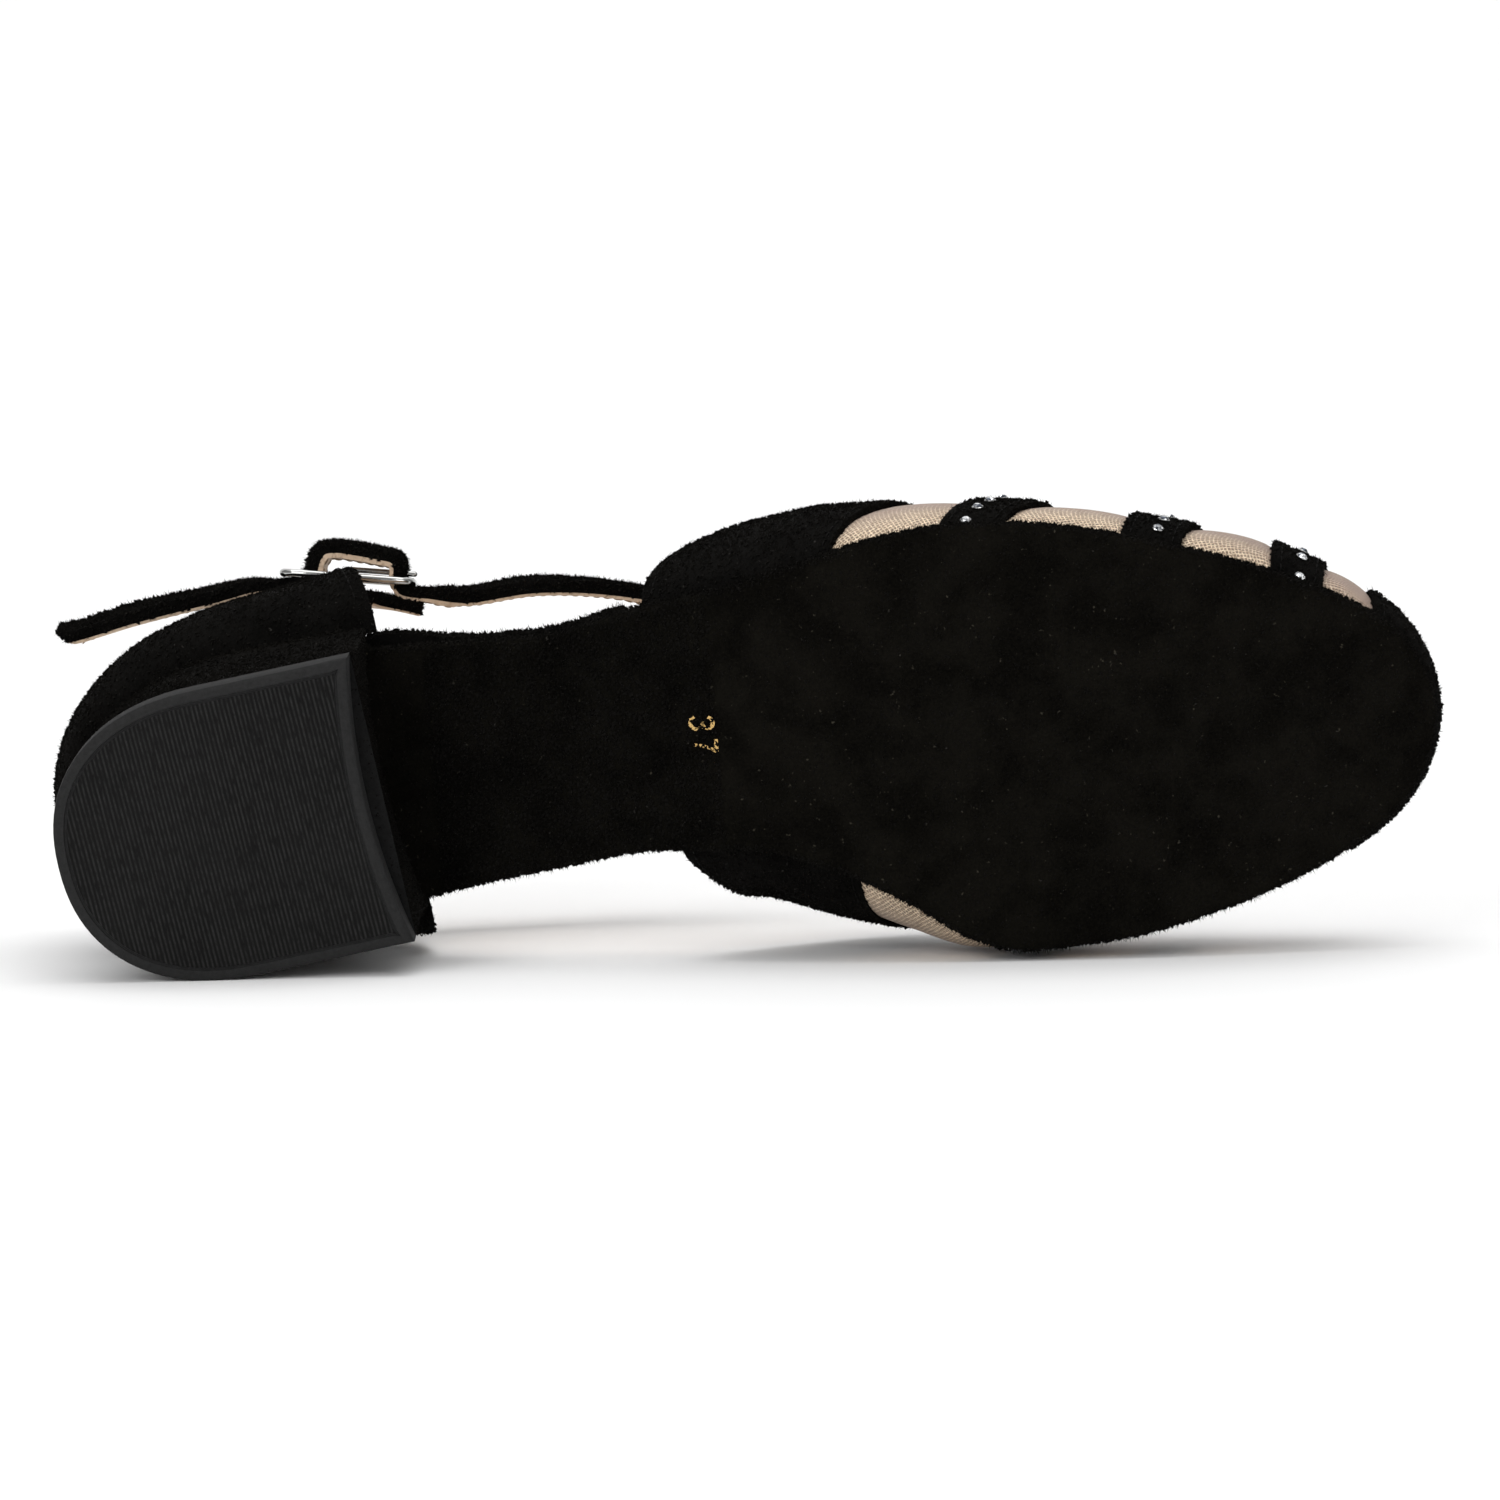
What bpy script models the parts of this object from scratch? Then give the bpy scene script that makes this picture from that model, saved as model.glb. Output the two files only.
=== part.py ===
"""Ballroom dance shoe for the right foot, women's size 37, lying on its inner side.

The shoe is modelled standing: x runs from the sole's back edge to the toe, y to the inner side of
the foot and z up from the ground. The last step turns the whole shoe onto its inner side, on the
plane where it comes to rest, and puts the middle of its footprint at the origin.
"""

import math

import bmesh
import bpy
import numpy as np
from mathutils import Matrix

MM = 0.001
LATERAL, MEDIAL = -1, 1

# Clearance between pieces that touch on the real shoe
GAP = 0.3 * MM

# Bottom of the shoe
SOLE_LENGTH = 244 * MM
BALL_WIDTH = 76 * MM
HEEL_HEIGHT = 38 * MM
BREAST_HEIGHT = 30 * MM
TOE_SPRING = 8.2 * MM
SOLE_THICKNESS = 3.0 * MM
SEAT_THICKNESS = 1.6 * MM
SOLE_EDGE_ROUND = 0.5 * MM
BOARD_THICKNESS = 2.2 * MM
BOARD_OVERHANG = 2.6 * MM

# Heel: its axis is turned outwards from the length of the shoe
HEEL_TURN = math.radians(7.6)
HEEL_BACK = (2.2 * MM, 6.4 * MM)
HEEL_WIDTH = 51.8 * MM
HEEL_LENGTH = 57.8 * MM
HEEL_BACK_ROUND = 30 * MM
HEEL_SQUARENESS = 2.25
BREAST_HOLLOW = 2.8 * MM
TOP_PIECE_THICKNESS = 5 * MM
TOP_PIECE_CHAMFER = 0.7 * MM
HEEL_WAIST_IN = 0.9 * MM
SEAT_WIDTH = 52.6 * MM
SEAT_BACK_OUT = 1.7 * MM
SEAT_BACK_ROUND = 36 * MM
SEAT_LENGTH = 58.6 * MM

# Counter, the cup around the heel
COUNTER_WALL = 2.2 * MM
COUNTER_HEIGHT = 54 * MM
COUNTER_SWELL = 8.5 * MM
COUNTER_LEAN = (8.8 * MM, 7 * MM)
COUNTER_REACH = 1.8 * MM
COUNTER_CORNER = 6 * MM
SWELL_LEVEL = 0.55

# Vamp, the closed forepart, with what is sewn over it
VAMP_WALL = 1.3 * MM
FEATHER_INSET = 1.2 * MM
INSTEP_HEIGHT = 80 * MM
TOE_BULGE = 1.6 * MM
SECTION_SQUARENESS = 2.35
OVERLAY_THICKNESS = 1.0 * MM
STRAP_WIDTH = (11 * MM, 10 * MM, 8.5 * MM)

# Edges over the vamp, in shares of the sole's length: where each starts at the outer and at the inner
# feather, and how far it arches to the toe between them
THROAT_FOOT = (0.4385, 0.4529)
THROAT_ARCH = 0.209
WING_FRONT_FOOT = (0.5738, 0.5779)
WING_FRONT_ARCH = 0.1373
STRAP_FOOT = ((0.6535, 0.6598), (0.7828, 0.7684), (0.8893, 0.8607))
STRAP_ARCH = (0.0738, 0.0410, 0.0205)
TOE_CAP_FOOT = (0.9631, 0.9303)
TOE_CAP_ARCH = 0.0041

# Instep strap, its tab and its buckle
INSTEP_STRAP_WIDTH = 8 * MM
INSTEP_STRAP_THICKNESS = 2.2 * MM
STRAP_LEAN = 0.04
STRAP_HOLE = 1.8 * MM
TAB_WIDTH = 8 * MM
TAB_THICKNESS = 2.0 * MM
BUCKLE_CENTRE = (50.5 * MM, -28.3 * MM, 80 * MM)
BUCKLE_YAW = math.radians(8.95)
BUCKLE_LEAN = 0.2
BUCKLE_LENGTH = 25.7 * MM
BUCKLE_HEIGHT = 14 * MM
BUCKLE_WIRE = 1.5 * MM
BUCKLE_SQUARENESS = 5.0
BAR_WIRE = 1.4 * MM
PRONG_WIRE = 1.1 * MM
HOOK_WIDTH = 5 * MM
HOOK_THICKNESS = 0.7 * MM

# The sole's distance inside the foot of the counter
SEAT_INSET = 0.5 * MM

# The insole board's distance from the outside of the walls that stand round it
BOARD_INSET = COUNTER_WALL + 2 * GAP
BOARD_IN_VAMP = FEATHER_INSET + VAMP_WALL + 2 * GAP

# Number of facets along and around the curved pieces
SOLE_STATIONS = 44
VAMP_COLUMNS = 24
COUNTER_COLUMNS = 30
COUNTER_ROWS = 9
HEEL_BACK_FACETS = 18

# Shares of the weight, as densities of the pieces in kg per cubic metre
LEATHER_DENSITY = 900
HEEL_DENSITY = 1000
METAL_DENSITY = 7800

# Height of the sole's underside: station as a share of the sole's length, height as a share of the
# breast height, and as a share of the toe spring.
PROFILE_ROWS = (
    (0.235, 1.000, 0.00),
    (0.270, 0.925, 0.00),
    (0.310, 0.810, 0.00),
    (0.390, 0.583, 0.00),
    (0.470, 0.353, 0.00),
    (0.550, 0.155, 0.00),
    (0.625, 0.035, 0.00),
    (0.670, 0.000, 0.00),
    (0.770, 0.000, 0.00),
    (0.830, 0.000, 0.11),
    (0.900, 0.000, 0.37),
    (0.950, 0.000, 0.64),
    (1.000, 0.000, 1.00),
)

# Outline of the outsole in front of the heel: station as a share of its length, outer edge and
# inner edge as shares of the ball width.
OUTLINE_ROWS = (
    (0.200, -0.300, 0.363),
    (0.235, -0.300, 0.327),
    (0.280, -0.306, 0.285),
    (0.360, -0.320, 0.231),
    (0.440, -0.386, 0.190),
    (0.500, -0.424, 0.191),
    (0.560, -0.479, 0.241),
    (0.610, -0.521, 0.321),
    (0.660, -0.542, 0.423),
    (0.700, -0.537, 0.457),
    (0.760, -0.505, 0.447),
    (0.830, -0.440, 0.405),
    (0.900, -0.355, 0.333),
    (0.950, -0.268, 0.253),
    (0.980, -0.184, 0.171),
    (1.000, -0.005, -0.005),
)

# Cross sections of the last in front of the instep: station, place of the ridge as a share of the
# ball width, height of the ridge as a share of the instep height, and the share of each side's
# greatest half width that is left at the feather line.
SECTION_ROWS = (
    (0.420, 0.035, 1.030, 0.870, 0.560),
    (0.440, 0.039, 1.000, 0.866, 0.540),
    (0.500, 0.053, 0.900, 0.860, 0.398),
    (0.560, 0.066, 0.785, 0.886, 0.474),
    (0.610, 0.079, 0.700, 0.934, 0.630),
    (0.660, 0.092, 0.625, 0.962, 0.805),
    (0.700, 0.099, 0.575, 0.964, 0.878),
    (0.760, 0.092, 0.515, 0.955, 0.890),
    (0.830, 0.072, 0.458, 0.930, 0.890),
    (0.900, 0.046, 0.410, 0.890, 0.870),
    (0.950, 0.020, 0.368, 0.885, 0.830),
    (0.980, 0.006, 0.315, 0.860, 0.820),
    (1.000, -0.005, 0.200, 0.820, 0.820),
)

# The counter from its back to its front edges: share of the way along the foot of the wall, swell
# as a share of the counter swell, offset of the top edge as a share of the same swell, and height
# as a share of the counter height.
COUNTER_SECTIONS = (
    (0.00, 0.62, -0.26, 1.000),
    (0.20, 0.66, -0.26, 0.960),
    (0.40, 0.66, -0.20, 0.890),
    (0.60, 0.72, -0.08, 0.810),
    (0.80, 0.80, 0.13, 0.765),
    (1.00, 0.90, 0.34, 0.745),
)

# Free part of the instep strap, from the inner side of the counter round the instep to the buckle:
# along the sole's length, across as a share of half the ball width, and height as a share of the
# instep height.
INSTEP_ROUTE = (
    (0.262, 0.645, 0.910),
    (0.310, 0.615, 0.975),
    (0.377, 0.570, 1.030),
    (0.443, 0.420, 1.072),
    (0.488, 0.220, 1.105),
    (0.505, 0.000, 1.118),
    (0.492, -0.240, 1.105),
    (0.450, -0.450, 1.075),
    (0.402, -0.560, 1.044),
    (0.348, -0.613, 1.020),
)

# The strap at the buckle, as distances along the buckle's length and out of its plane, in shares
# of the buckle's length: under the front end, over the bar in an arch, under the back end.
BUCKLE_ROUTE = (
    (0.850, -0.088),
    (0.600, -0.090),
    (0.470, -0.090),
    (0.405, -0.076),
    (0.370, -0.030),
    (0.358, 0.030),
    (0.350, 0.105),
    (0.325, 0.143),
    (0.200, 0.165),
    (0.050, 0.182),
    (-0.090, 0.190),
    (-0.180, 0.170),
    (-0.220, 0.110),
    (-0.235, 0.035),
    (-0.262, -0.030),
    (-0.330, -0.082),
    (-0.470, -0.108),
    (-0.640, -0.125),
)

# The two stretches of the buckle route that the prong passes through
HOLE_STRETCH = (4, 6)

# The strap's loose tail behind the buckle: along the sole's length, across as a share of half the
# ball width, and height as a share of the instep height.
TAIL_ROUTE = (
    (0.098, -0.695, 1.000),
    (0.040, -0.640, 1.000),
    (0.000, -0.585, 1.000),
    (-0.019, -0.566, 1.000),
)


def curve(places, values):
    """A smooth curve through the points that never swings beyond them."""
    xs = np.array(places, float)
    ys = np.array(values, float)
    steps = np.diff(xs)
    slopes = np.diff(ys) / steps
    tangents = np.zeros(len(xs))
    tangents[0] = slopes[0]
    tangents[-1] = slopes[-1]
    for i in range(1, len(xs) - 1):
        before, after = slopes[i - 1], slopes[i]
        if before * after > 0:
            w1 = 2 * steps[i] + steps[i - 1]
            w2 = steps[i] + 2 * steps[i - 1]
            tangents[i] = (w1 + w2) / (w1 / before + w2 / after)

    def value(x):
        i = int(np.clip(np.searchsorted(xs, x) - 1, 0, len(steps) - 1))
        h = steps[i]
        t = (x - xs[i]) / h
        return float(
            (2 * t**3 - 3 * t**2 + 1) * ys[i]
            + (t**3 - 2 * t**2 + t) * h * tangents[i]
            + (3 * t**2 - 2 * t**3) * ys[i + 1]
            + (t**3 - t**2) * h * tangents[i + 1]
        )

    return value


def angle_of(share):
    """The angle that stands for a station: it opens out the round ends of an outline."""
    return math.acos(1 - 2 * min(max(share, 0.0), 1.0))


def column(rows, index):
    """One column of a table of sections, as a smooth curve over the station's angle."""
    return curve([angle_of(row[0]) for row in rows], [row[index] for row in rows])


RISE = curve([row[0] for row in PROFILE_ROWS], [row[1] for row in PROFILE_ROWS])
SPRING = curve([row[0] for row in PROFILE_ROWS], [row[2] for row in PROFILE_ROWS])
EDGES = {LATERAL: column(OUTLINE_ROWS, 1), MEDIAL: column(OUTLINE_ROWS, 2)}
RIDGE = column(SECTION_ROWS, 1)
CROWN = column(SECTION_ROWS, 2)
TUCKS = {LATERAL: column(SECTION_ROWS, 3), MEDIAL: column(SECTION_ROWS, 4)}
SWELL = curve([row[0] for row in COUNTER_SECTIONS], [row[1] for row in COUNTER_SECTIONS])
TOP_OUT = curve([row[0] for row in COUNTER_SECTIONS], [row[2] for row in COUNTER_SECTIONS])
HEIGHTS = curve([row[0] for row in COUNTER_SECTIONS], [row[3] for row in COUNTER_SECTIONS])


def smooth_step(x, start, end):
    """0 before the start, 1 after the end, and an even change between."""
    t = min(max((x - start) / (end - start), 0.0), 1.0)
    return t * t * (3 - 2 * t)


def underside(x):
    """Height of the sole's underside: a flat seat over the heel, then the waist and the toe."""
    share = x / SOLE_LENGTH
    seat_end = PROFILE_ROWS[0][0]
    if share <= seat_end:
        return HEEL_HEIGHT + (BREAST_HEIGHT - HEEL_HEIGHT) * share / seat_end
    share = min(share, 1.0)
    return BREAST_HEIGHT * RISE(share) + TOE_SPRING * SPRING(share)


def sole_thickness(x):
    """The sole is thinned down under the heel."""
    breast = PROFILE_ROWS[0][0] * SOLE_LENGTH
    blend = smooth_step(x, breast - 0.049 * SOLE_LENGTH, breast + 0.025 * SOLE_LENGTH)
    return SEAT_THICKNESS + (SOLE_THICKNESS - SEAT_THICKNESS) * blend


def foot_level(x):
    """Height at which the walls and the board stand, just clear of the sole."""
    return underside(x) + sole_thickness(x) + GAP


def from_heel_axis(u, v):
    """A place given along and across the heel's turned axis, in the shoe's own plan."""
    cos, sin = math.cos(HEEL_TURN), math.sin(HEEL_TURN)
    return np.array([HEEL_BACK[0] + u * cos + v * sin, HEEL_BACK[1] - u * sin + v * cos])


def d_outline(back, round_length, half_width, squareness, front):
    """One side's outline along the heel axis, from the back to the front corner."""
    points = []
    for angle in np.linspace(0, math.pi / 2, HEEL_BACK_FACETS // 2 + 1):
        u = back + round_length * (1 - math.cos(angle) ** (2 / squareness))
        points.append((u, half_width * math.sin(angle) ** (2 / squareness)))
    for share in (0.4, 0.75, 1.0):
        points.append((back + round_length + share * (front - back - round_length), half_width))
    return points


def heel_loop(side_points, hollow):
    """A closed loop in plan: outer side from the front, round the back, inner side, then the breast."""
    loop = [from_heel_axis(u, LATERAL * v) for u, v in reversed(side_points)]
    loop += [from_heel_axis(u, MEDIAL * v) for u, v in side_points[1:]]
    front, half_width = side_points[-1]
    for share in (0.7, 0.35, 0.0, -0.35, -0.7):
        loop.append(from_heel_axis(front - hollow * (1 - share * share), half_width * share))
    return loop


def seat_side(front=SEAT_LENGTH, inset=0.0):
    """Outline of the heel seat along the heel axis."""
    back = inset - SEAT_BACK_OUT
    return d_outline(back, SEAT_BACK_ROUND, SEAT_WIDTH / 2 - inset, 2.0, front)


def dense_seat():
    """The seat's outline in fine steps, from the outer front corner round to the inner one."""
    start = SEAT_BACK_ROUND - SEAT_BACK_OUT
    angles = np.linspace(0, math.pi / 2, 60)
    side = [(start - SEAT_BACK_ROUND * math.cos(a), SEAT_WIDTH / 2 * math.sin(a)) for a in angles]
    side += [(start + (SEAT_LENGTH - start) * k / 12, SEAT_WIDTH / 2) for k in range(1, 13)]
    reach = (SEAT_LENGTH + COUNTER_REACH, SEAT_WIDTH / 2)
    outer = [from_heel_axis(u, LATERAL * v) for u, v in reversed(side + [reach])]
    inner = [from_heel_axis(u, MEDIAL * v) for u, v in side[1:]]
    return np.array(outer + inner)


SEAT_LINE = dense_seat()
SEAT_RUN = np.concatenate([[0.0], np.cumsum(np.linalg.norm(np.diff(SEAT_LINE, axis=0), axis=1))])
SEAT_ALONG = np.gradient(SEAT_LINE, axis=0)
SEAT_ALONG /= np.linalg.norm(SEAT_ALONG, axis=1)[:, None]
SEAT_OUTWARD = np.stack([-SEAT_ALONG[:, 1], SEAT_ALONG[:, 0]], axis=1)


def seat_edge(x, side, inset=0.0):
    """The seat's outline on one side at a station, moved inwards by the inset."""
    line = SEAT_LINE - SEAT_OUTWARD * inset
    back = int(np.argmin(line[:, 0]))
    part = line[: back + 1][::-1] if side == LATERAL else line[back:]
    return float(np.interp(x, part[:, 0], part[:, 1]))


def sole_edge(x, side):
    """The outsole's outline: the seat's over the heel, then its own through waist and ball."""
    share = x / SOLE_LENGTH
    front = EDGES[side](angle_of(share)) * BALL_WIDTH
    breast = PROFILE_ROWS[0][0] * SOLE_LENGTH
    blend = smooth_step(x, breast - 5 * MM, breast + 1 * MM)
    if blend == 1.0:
        return front
    seat = seat_edge(x, side, SEAT_INSET)
    if share < OUTLINE_ROWS[0][0]:
        return seat
    return seat + (front - seat) * blend


def edge_point(theta, side, inset=0.0):
    """A point of the sole's outline in plan, moved inwards by the inset."""
    step = 0.004

    def at(angle):
        x = SOLE_LENGTH * (1 - math.cos(angle)) / 2
        return np.array([x, sole_edge(x, side)])

    here = at(theta)
    if theta > math.pi - 1e-6:
        return here - np.array([inset, 0.0])
    run = at(min(theta + step, math.pi)) - at(theta - step)
    run /= np.linalg.norm(run)
    outward = np.array([-side * run[1], side * run[0]])
    return here - inset * outward


def vamp_point(theta, t):
    """Outer surface of the forepart: theta runs to the toe, t from the outer to the inner feather."""
    theta = min(theta, math.pi)
    side = LATERAL if t < 0.5 else MEDIAL
    climb = 2 * t if t < 0.5 else 2 * (1 - t)
    foot = edge_point(theta, side, FEATHER_INSET)
    other = edge_point(theta, -side, FEATHER_INSET)
    ridge = RIDGE(theta) * BALL_WIDTH
    foot_z = foot_level(foot[0])
    rise = CROWN(theta) * INSTEP_HEIGHT - foot_z
    n = SECTION_SQUARENESS
    tuck = TUCKS[side](theta)
    drop = (1 - tuck**n) ** (1 / n)
    half_height = rise / (1 + drop)
    half_width = abs(foot[1] - ridge) / tuck
    start = math.atan2(drop, tuck)
    angle = -start + climb * (math.pi / 2 + start)
    cos, sin = math.cos(angle), math.sin(angle)
    reach = (abs(cos) ** n + abs(sin) ** n) ** (-1 / n)
    y = ridge + side * half_width * reach * cos
    z = foot_z + half_height * (drop + reach * sin)
    near_toe = max(0.0, -math.cos(theta)) ** 6
    forward = TOE_BULGE * near_toe * math.sin(math.pi * min(max((z - foot_z) / rise, 0.0), 1.0))
    x = foot[0] + (other[0] - foot[0]) * climb / 2 + forward
    return np.array([x, y, z])


def vamp_normal(theta, t):
    """Outward direction of the forepart's surface."""
    around = min(theta, math.pi - 0.03)
    along = vamp_point(around + 0.012, t) - vamp_point(around - 0.012, t)
    low, high = max(t - 0.008, 0.0), min(t + 0.008, 1.0)
    normal = np.cross(along, vamp_point(around, high) - vamp_point(around, low))
    return normal / np.linalg.norm(normal)


def vamp_offset(theta, t, lift):
    """A point a given distance outside the forepart's surface, never below the feather line."""
    normal = vamp_normal(theta, t)
    if theta > math.pi - 1e-6:
        normal = normal + vamp_normal(theta, 1 - t)
        normal[1] = 0.0
        normal /= np.linalg.norm(normal)
    point = vamp_point(theta, t) + lift * normal
    point[2] = max(point[2], foot_level(point[0]))
    return point


def edge_line(foot, arch, sharpness, shift=0.0):
    """An edge over the forepart, in shares of the sole: its station at both feather lines, and its arch.

    The sharpness, one for each side, is how late the edge leaves its line along the feather. The shift
    is a distance to the toe.
    """
    outer, inner = foot

    def share(t):
        base = outer + (inner - outer) * t + shift / SOLE_LENGTH
        power = sharpness[0] + (sharpness[1] - sharpness[0]) * t
        return base + arch * max(math.sin(math.pi * t), 0.0) ** power

    return lambda t: angle_of(share(t))


THROAT = edge_line(THROAT_FOOT, THROAT_ARCH, (2.0, 2.0))
WING_FRONT = edge_line(WING_FRONT_FOOT, WING_FRONT_ARCH, (1.2, 2.2))


def vamp_grid(lines, lift):
    """Points over the forepart, a given distance outside its surface.

    The lines are edges over it from back to front, each with the number of rows up to the next.
    """
    grid = []
    for (rear, steps), (front, _) in zip(lines, lines[1:]):
        for i in range(steps):
            grid.append((rear, front, i / steps))
    grid.append((lines[-1][0], lines[-1][0], 0.0))
    points = []
    for rear, front, share in grid:
        line = []
        for j in range(VAMP_COLUMNS + 1):
            t = j / VAMP_COLUMNS
            line.append(vamp_offset(rear(t) + (front(t) - rear(t)) * share, t, lift))
        points.append(line)
    return np.array(points)


def toe_tip(t):
    """The front end of what runs right to the toe."""
    return math.pi


def seat_foot(share):
    """Foot of the counter in plan and its outward direction, from 0 outer front to 1 inner front."""
    length = SEAT_RUN[-1]

    def at(s):
        return np.array([np.interp(s * length, SEAT_RUN, SEAT_LINE[:, k]) for k in (0, 1)])

    run = at(min(share + 0.01, 1.0)) - at(max(share - 0.01, 0.0))
    run /= np.linalg.norm(run)
    return at(share), np.array([run[1], -run[0]]) * -1


def counter_point(share, h, lift=0.0):
    """The counter's outer surface: share round the heel, h from its foot to its top edge."""
    foot, outward = seat_foot(share)
    from_back = abs(2 * share - 1)
    height = HEIGHTS(from_back) * COUNTER_HEIGHT
    swell = SWELL(from_back) * math.sin(math.pi * h**SWELL_LEVEL) + TOP_OUT(from_back) * h**2
    setback = COUNTER_LEAN[0 if share < 0.5 else 1] * h * smooth_step(from_back, 0.35, 1.0)
    corner = min(max(1 - (1 - h) * height / COUNTER_CORNER, 0.0), 1.0)
    rounding = COUNTER_CORNER * (1 - math.sqrt(1 - corner**2))
    setback += rounding * smooth_step(from_back, 0.75, 1.0)
    plan = foot + outward * (COUNTER_SWELL * swell + lift)
    x = plan[0] - setback
    return np.array([x, plan[1], foot_level(foot[0]) + h * height])


def counter_grid(lift):
    """Points of one face of the counter's wall."""
    grid = []
    for i in range(COUNTER_ROWS + 1):
        h = (i / COUNTER_ROWS) ** 1.25
        grid.append([counter_point(j / COUNTER_COLUMNS, h, lift) for j in range(COUNTER_COLUMNS + 1)])
    return np.array(grid)


def new_object(name, mesh_data, material):
    """An object of the given bmesh, with its faces turned outwards."""
    bmesh.ops.remove_doubles(mesh_data, verts=mesh_data.verts, dist=0.002 * MM)
    bmesh.ops.dissolve_degenerate(mesh_data, edges=mesh_data.edges, dist=0.002 * MM)
    bmesh.ops.recalc_face_normals(mesh_data, faces=mesh_data.faces)
    mesh = bpy.data.meshes.new(name)
    mesh_data.to_mesh(mesh)
    mesh_data.free()
    mesh.materials.append(material)
    mesh.shade_smooth()
    mesh.set_sharp_from_angle(angle=math.radians(40))
    obj = bpy.data.objects.new(name, mesh)
    bpy.context.collection.objects.link(obj)
    return obj


def shell(name, outer, inner, material, closed_end=False, gaps=()):
    """A closed wall between two grids of points, with the cells in gaps left open through it.

    Every cell is split along the same diagonal, so that walls that lie on each other match.
    """
    data = bmesh.new()
    faces = [[[data.verts.new(point) for point in line] for line in grid] for grid in (outer, inner)]
    rows, columns = len(outer) - 1, len(outer[0]) - 1
    cells = {(i, j) for i in range(rows) for j in range(columns)} - set(gaps)
    for i, j in sorted(cells):
        corners = [(i, j), (i, j + 1), (i + 1, j + 1), (i + 1, j)]
        beyond = [(i - 1, j), (i, j + 1), (i + 1, j), (i, j - 1)]
        for half in (corners[:3], [corners[0], corners[2], corners[3]]):
            data.faces.new([faces[0][a][b] for a, b in half])
            data.faces.new([faces[1][a][b] for a, b in reversed(half)])
        for k in range(4):
            p, q = corners[k], corners[(k + 1) % 4]
            at_tip = closed_end and p[0] == rows and q[0] == rows
            if beyond[k] not in cells and not at_tip:
                rim = ((0, q), (0, p), (1, p), (1, q))
                data.faces.new([faces[layer][a][b] for layer, (a, b) in rim])
    return new_object(name, data, material)


def stack(name, loops, material):
    """A closed solid through loops of the same number of points, with flat ends."""
    data = bmesh.new()
    rings = [[data.verts.new(point) for point in loop] for loop in loops]
    count = len(rings[0])
    for low, high in zip(rings, rings[1:]):
        for i in range(count):
            j = (i + 1) % count
            data.faces.new([low[i], low[j], high[j], high[i]])
    data.faces.new(list(reversed(rings[0])))
    data.faces.new(rings[-1])
    return new_object(name, data, material)


def slab(name, stations, edge_y, levels, material):
    """A flat layer that follows the sole: cross sections at the stations, each through the levels.

    A level is a height function and an inset from the edge.
    """
    data = bmesh.new()
    rings = []
    for x in stations:
        outer, inner = edge_y(x, LATERAL), edge_y(x, MEDIAL)
        ring = []
        for side, y, order in ((LATERAL, outer, levels), (MEDIAL, inner, levels[::-1])):
            for height, inset in order:
                reach = min(inset, (inner - outer) * 0.25)
                ring.append(data.verts.new((x, y - side * reach, height(x))))
        rings.append(ring)
    count = len(rings[0])
    for before, after in zip(rings, rings[1:]):
        for i in range(count):
            j = (i + 1) % count
            data.faces.new([before[i], before[j], after[j], after[i]])
    data.faces.new(rings[0])
    data.faces.new(list(reversed(rings[-1])))
    return new_object(name, data, material)


def tube(name, points, radius, sides, material, closed=False, across=(0, 0, 1)):
    """A round wire along the points, as a ring or with flat ends."""
    points = np.array(points)
    data = bmesh.new()
    rings = []
    count = len(points)
    for i, point in enumerate(points):
        before = points[i - 1] if (closed or i > 0) else points[0]
        after = points[(i + 1) % count] if (closed or i < count - 1) else points[-1]
        run = (after - before) / np.linalg.norm(after - before)
        side = np.cross(run, across)
        side /= np.linalg.norm(side)
        up = np.cross(side, run)
        ring = []
        for k in range(sides):
            angle = 2 * math.pi * (k + 0.5) / sides
            ring.append(data.verts.new(point + radius * (math.cos(angle) * side + math.sin(angle) * up)))
        rings.append(ring)
    pairs = list(zip(rings, rings[1:])) + ([(rings[-1], rings[0])] if closed else [])
    for before, after in pairs:
        for i in range(sides):
            j = (i + 1) % sides
            data.faces.new([before[i], before[j], after[j], after[i]])
    if not closed:
        data.faces.new(rings[0])
        data.faces.new(list(reversed(rings[-1])))
    return new_object(name, data, material)


def through(points, steps):
    """A smooth path through the points, with a number of steps for each stretch."""
    points = [np.array(p) for p in points]
    ends = [2 * points[0] - points[1]] + points + [2 * points[-1] - points[-2]]
    path = []
    for i, count in enumerate(steps):
        a, b, c, d = ends[i : i + 4]
        ab, bc, cd = (np.linalg.norm(q - p) ** 0.5 for p, q in ((a, b), (b, c), (c, d)))
        m1 = bc * ((b - a) / ab - (c - a) / (ab + bc) + (c - b) / bc)
        m2 = bc * ((c - b) / bc - (d - b) / (bc + cd) + (d - c) / cd)
        for k in range(count):
            t = k / count
            path.append(
                (2 * t**3 - 3 * t**2 + 1) * b + (t**3 - 2 * t**2 + t) * m1
                + (3 * t**2 - 2 * t**3) * c + (t**3 - t**2) * m2
            )
    path.append(points[-1])
    return np.array(path)


def ribbon(name, path, across, width, thickness, material, columns=(-0.5, 0.5), gaps=()):
    """A flat strap along a path; across holds its width's direction at each point."""
    outer, inner = [], []
    for i, point in enumerate(path):
        run = path[min(i + 1, len(path) - 1)] - path[max(i - 1, 0)]
        run /= np.linalg.norm(run)
        wide = across[i] - run * np.dot(across[i], run)
        wide /= np.linalg.norm(wide)
        out = np.cross(run, wide)
        outer.append([point + wide * width * k + out * thickness / 2 for k in columns])
        inner.append([point + wide * width * k - out * thickness / 2 for k in columns])
    return shell(name, outer, inner, material, gaps=gaps)


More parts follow.
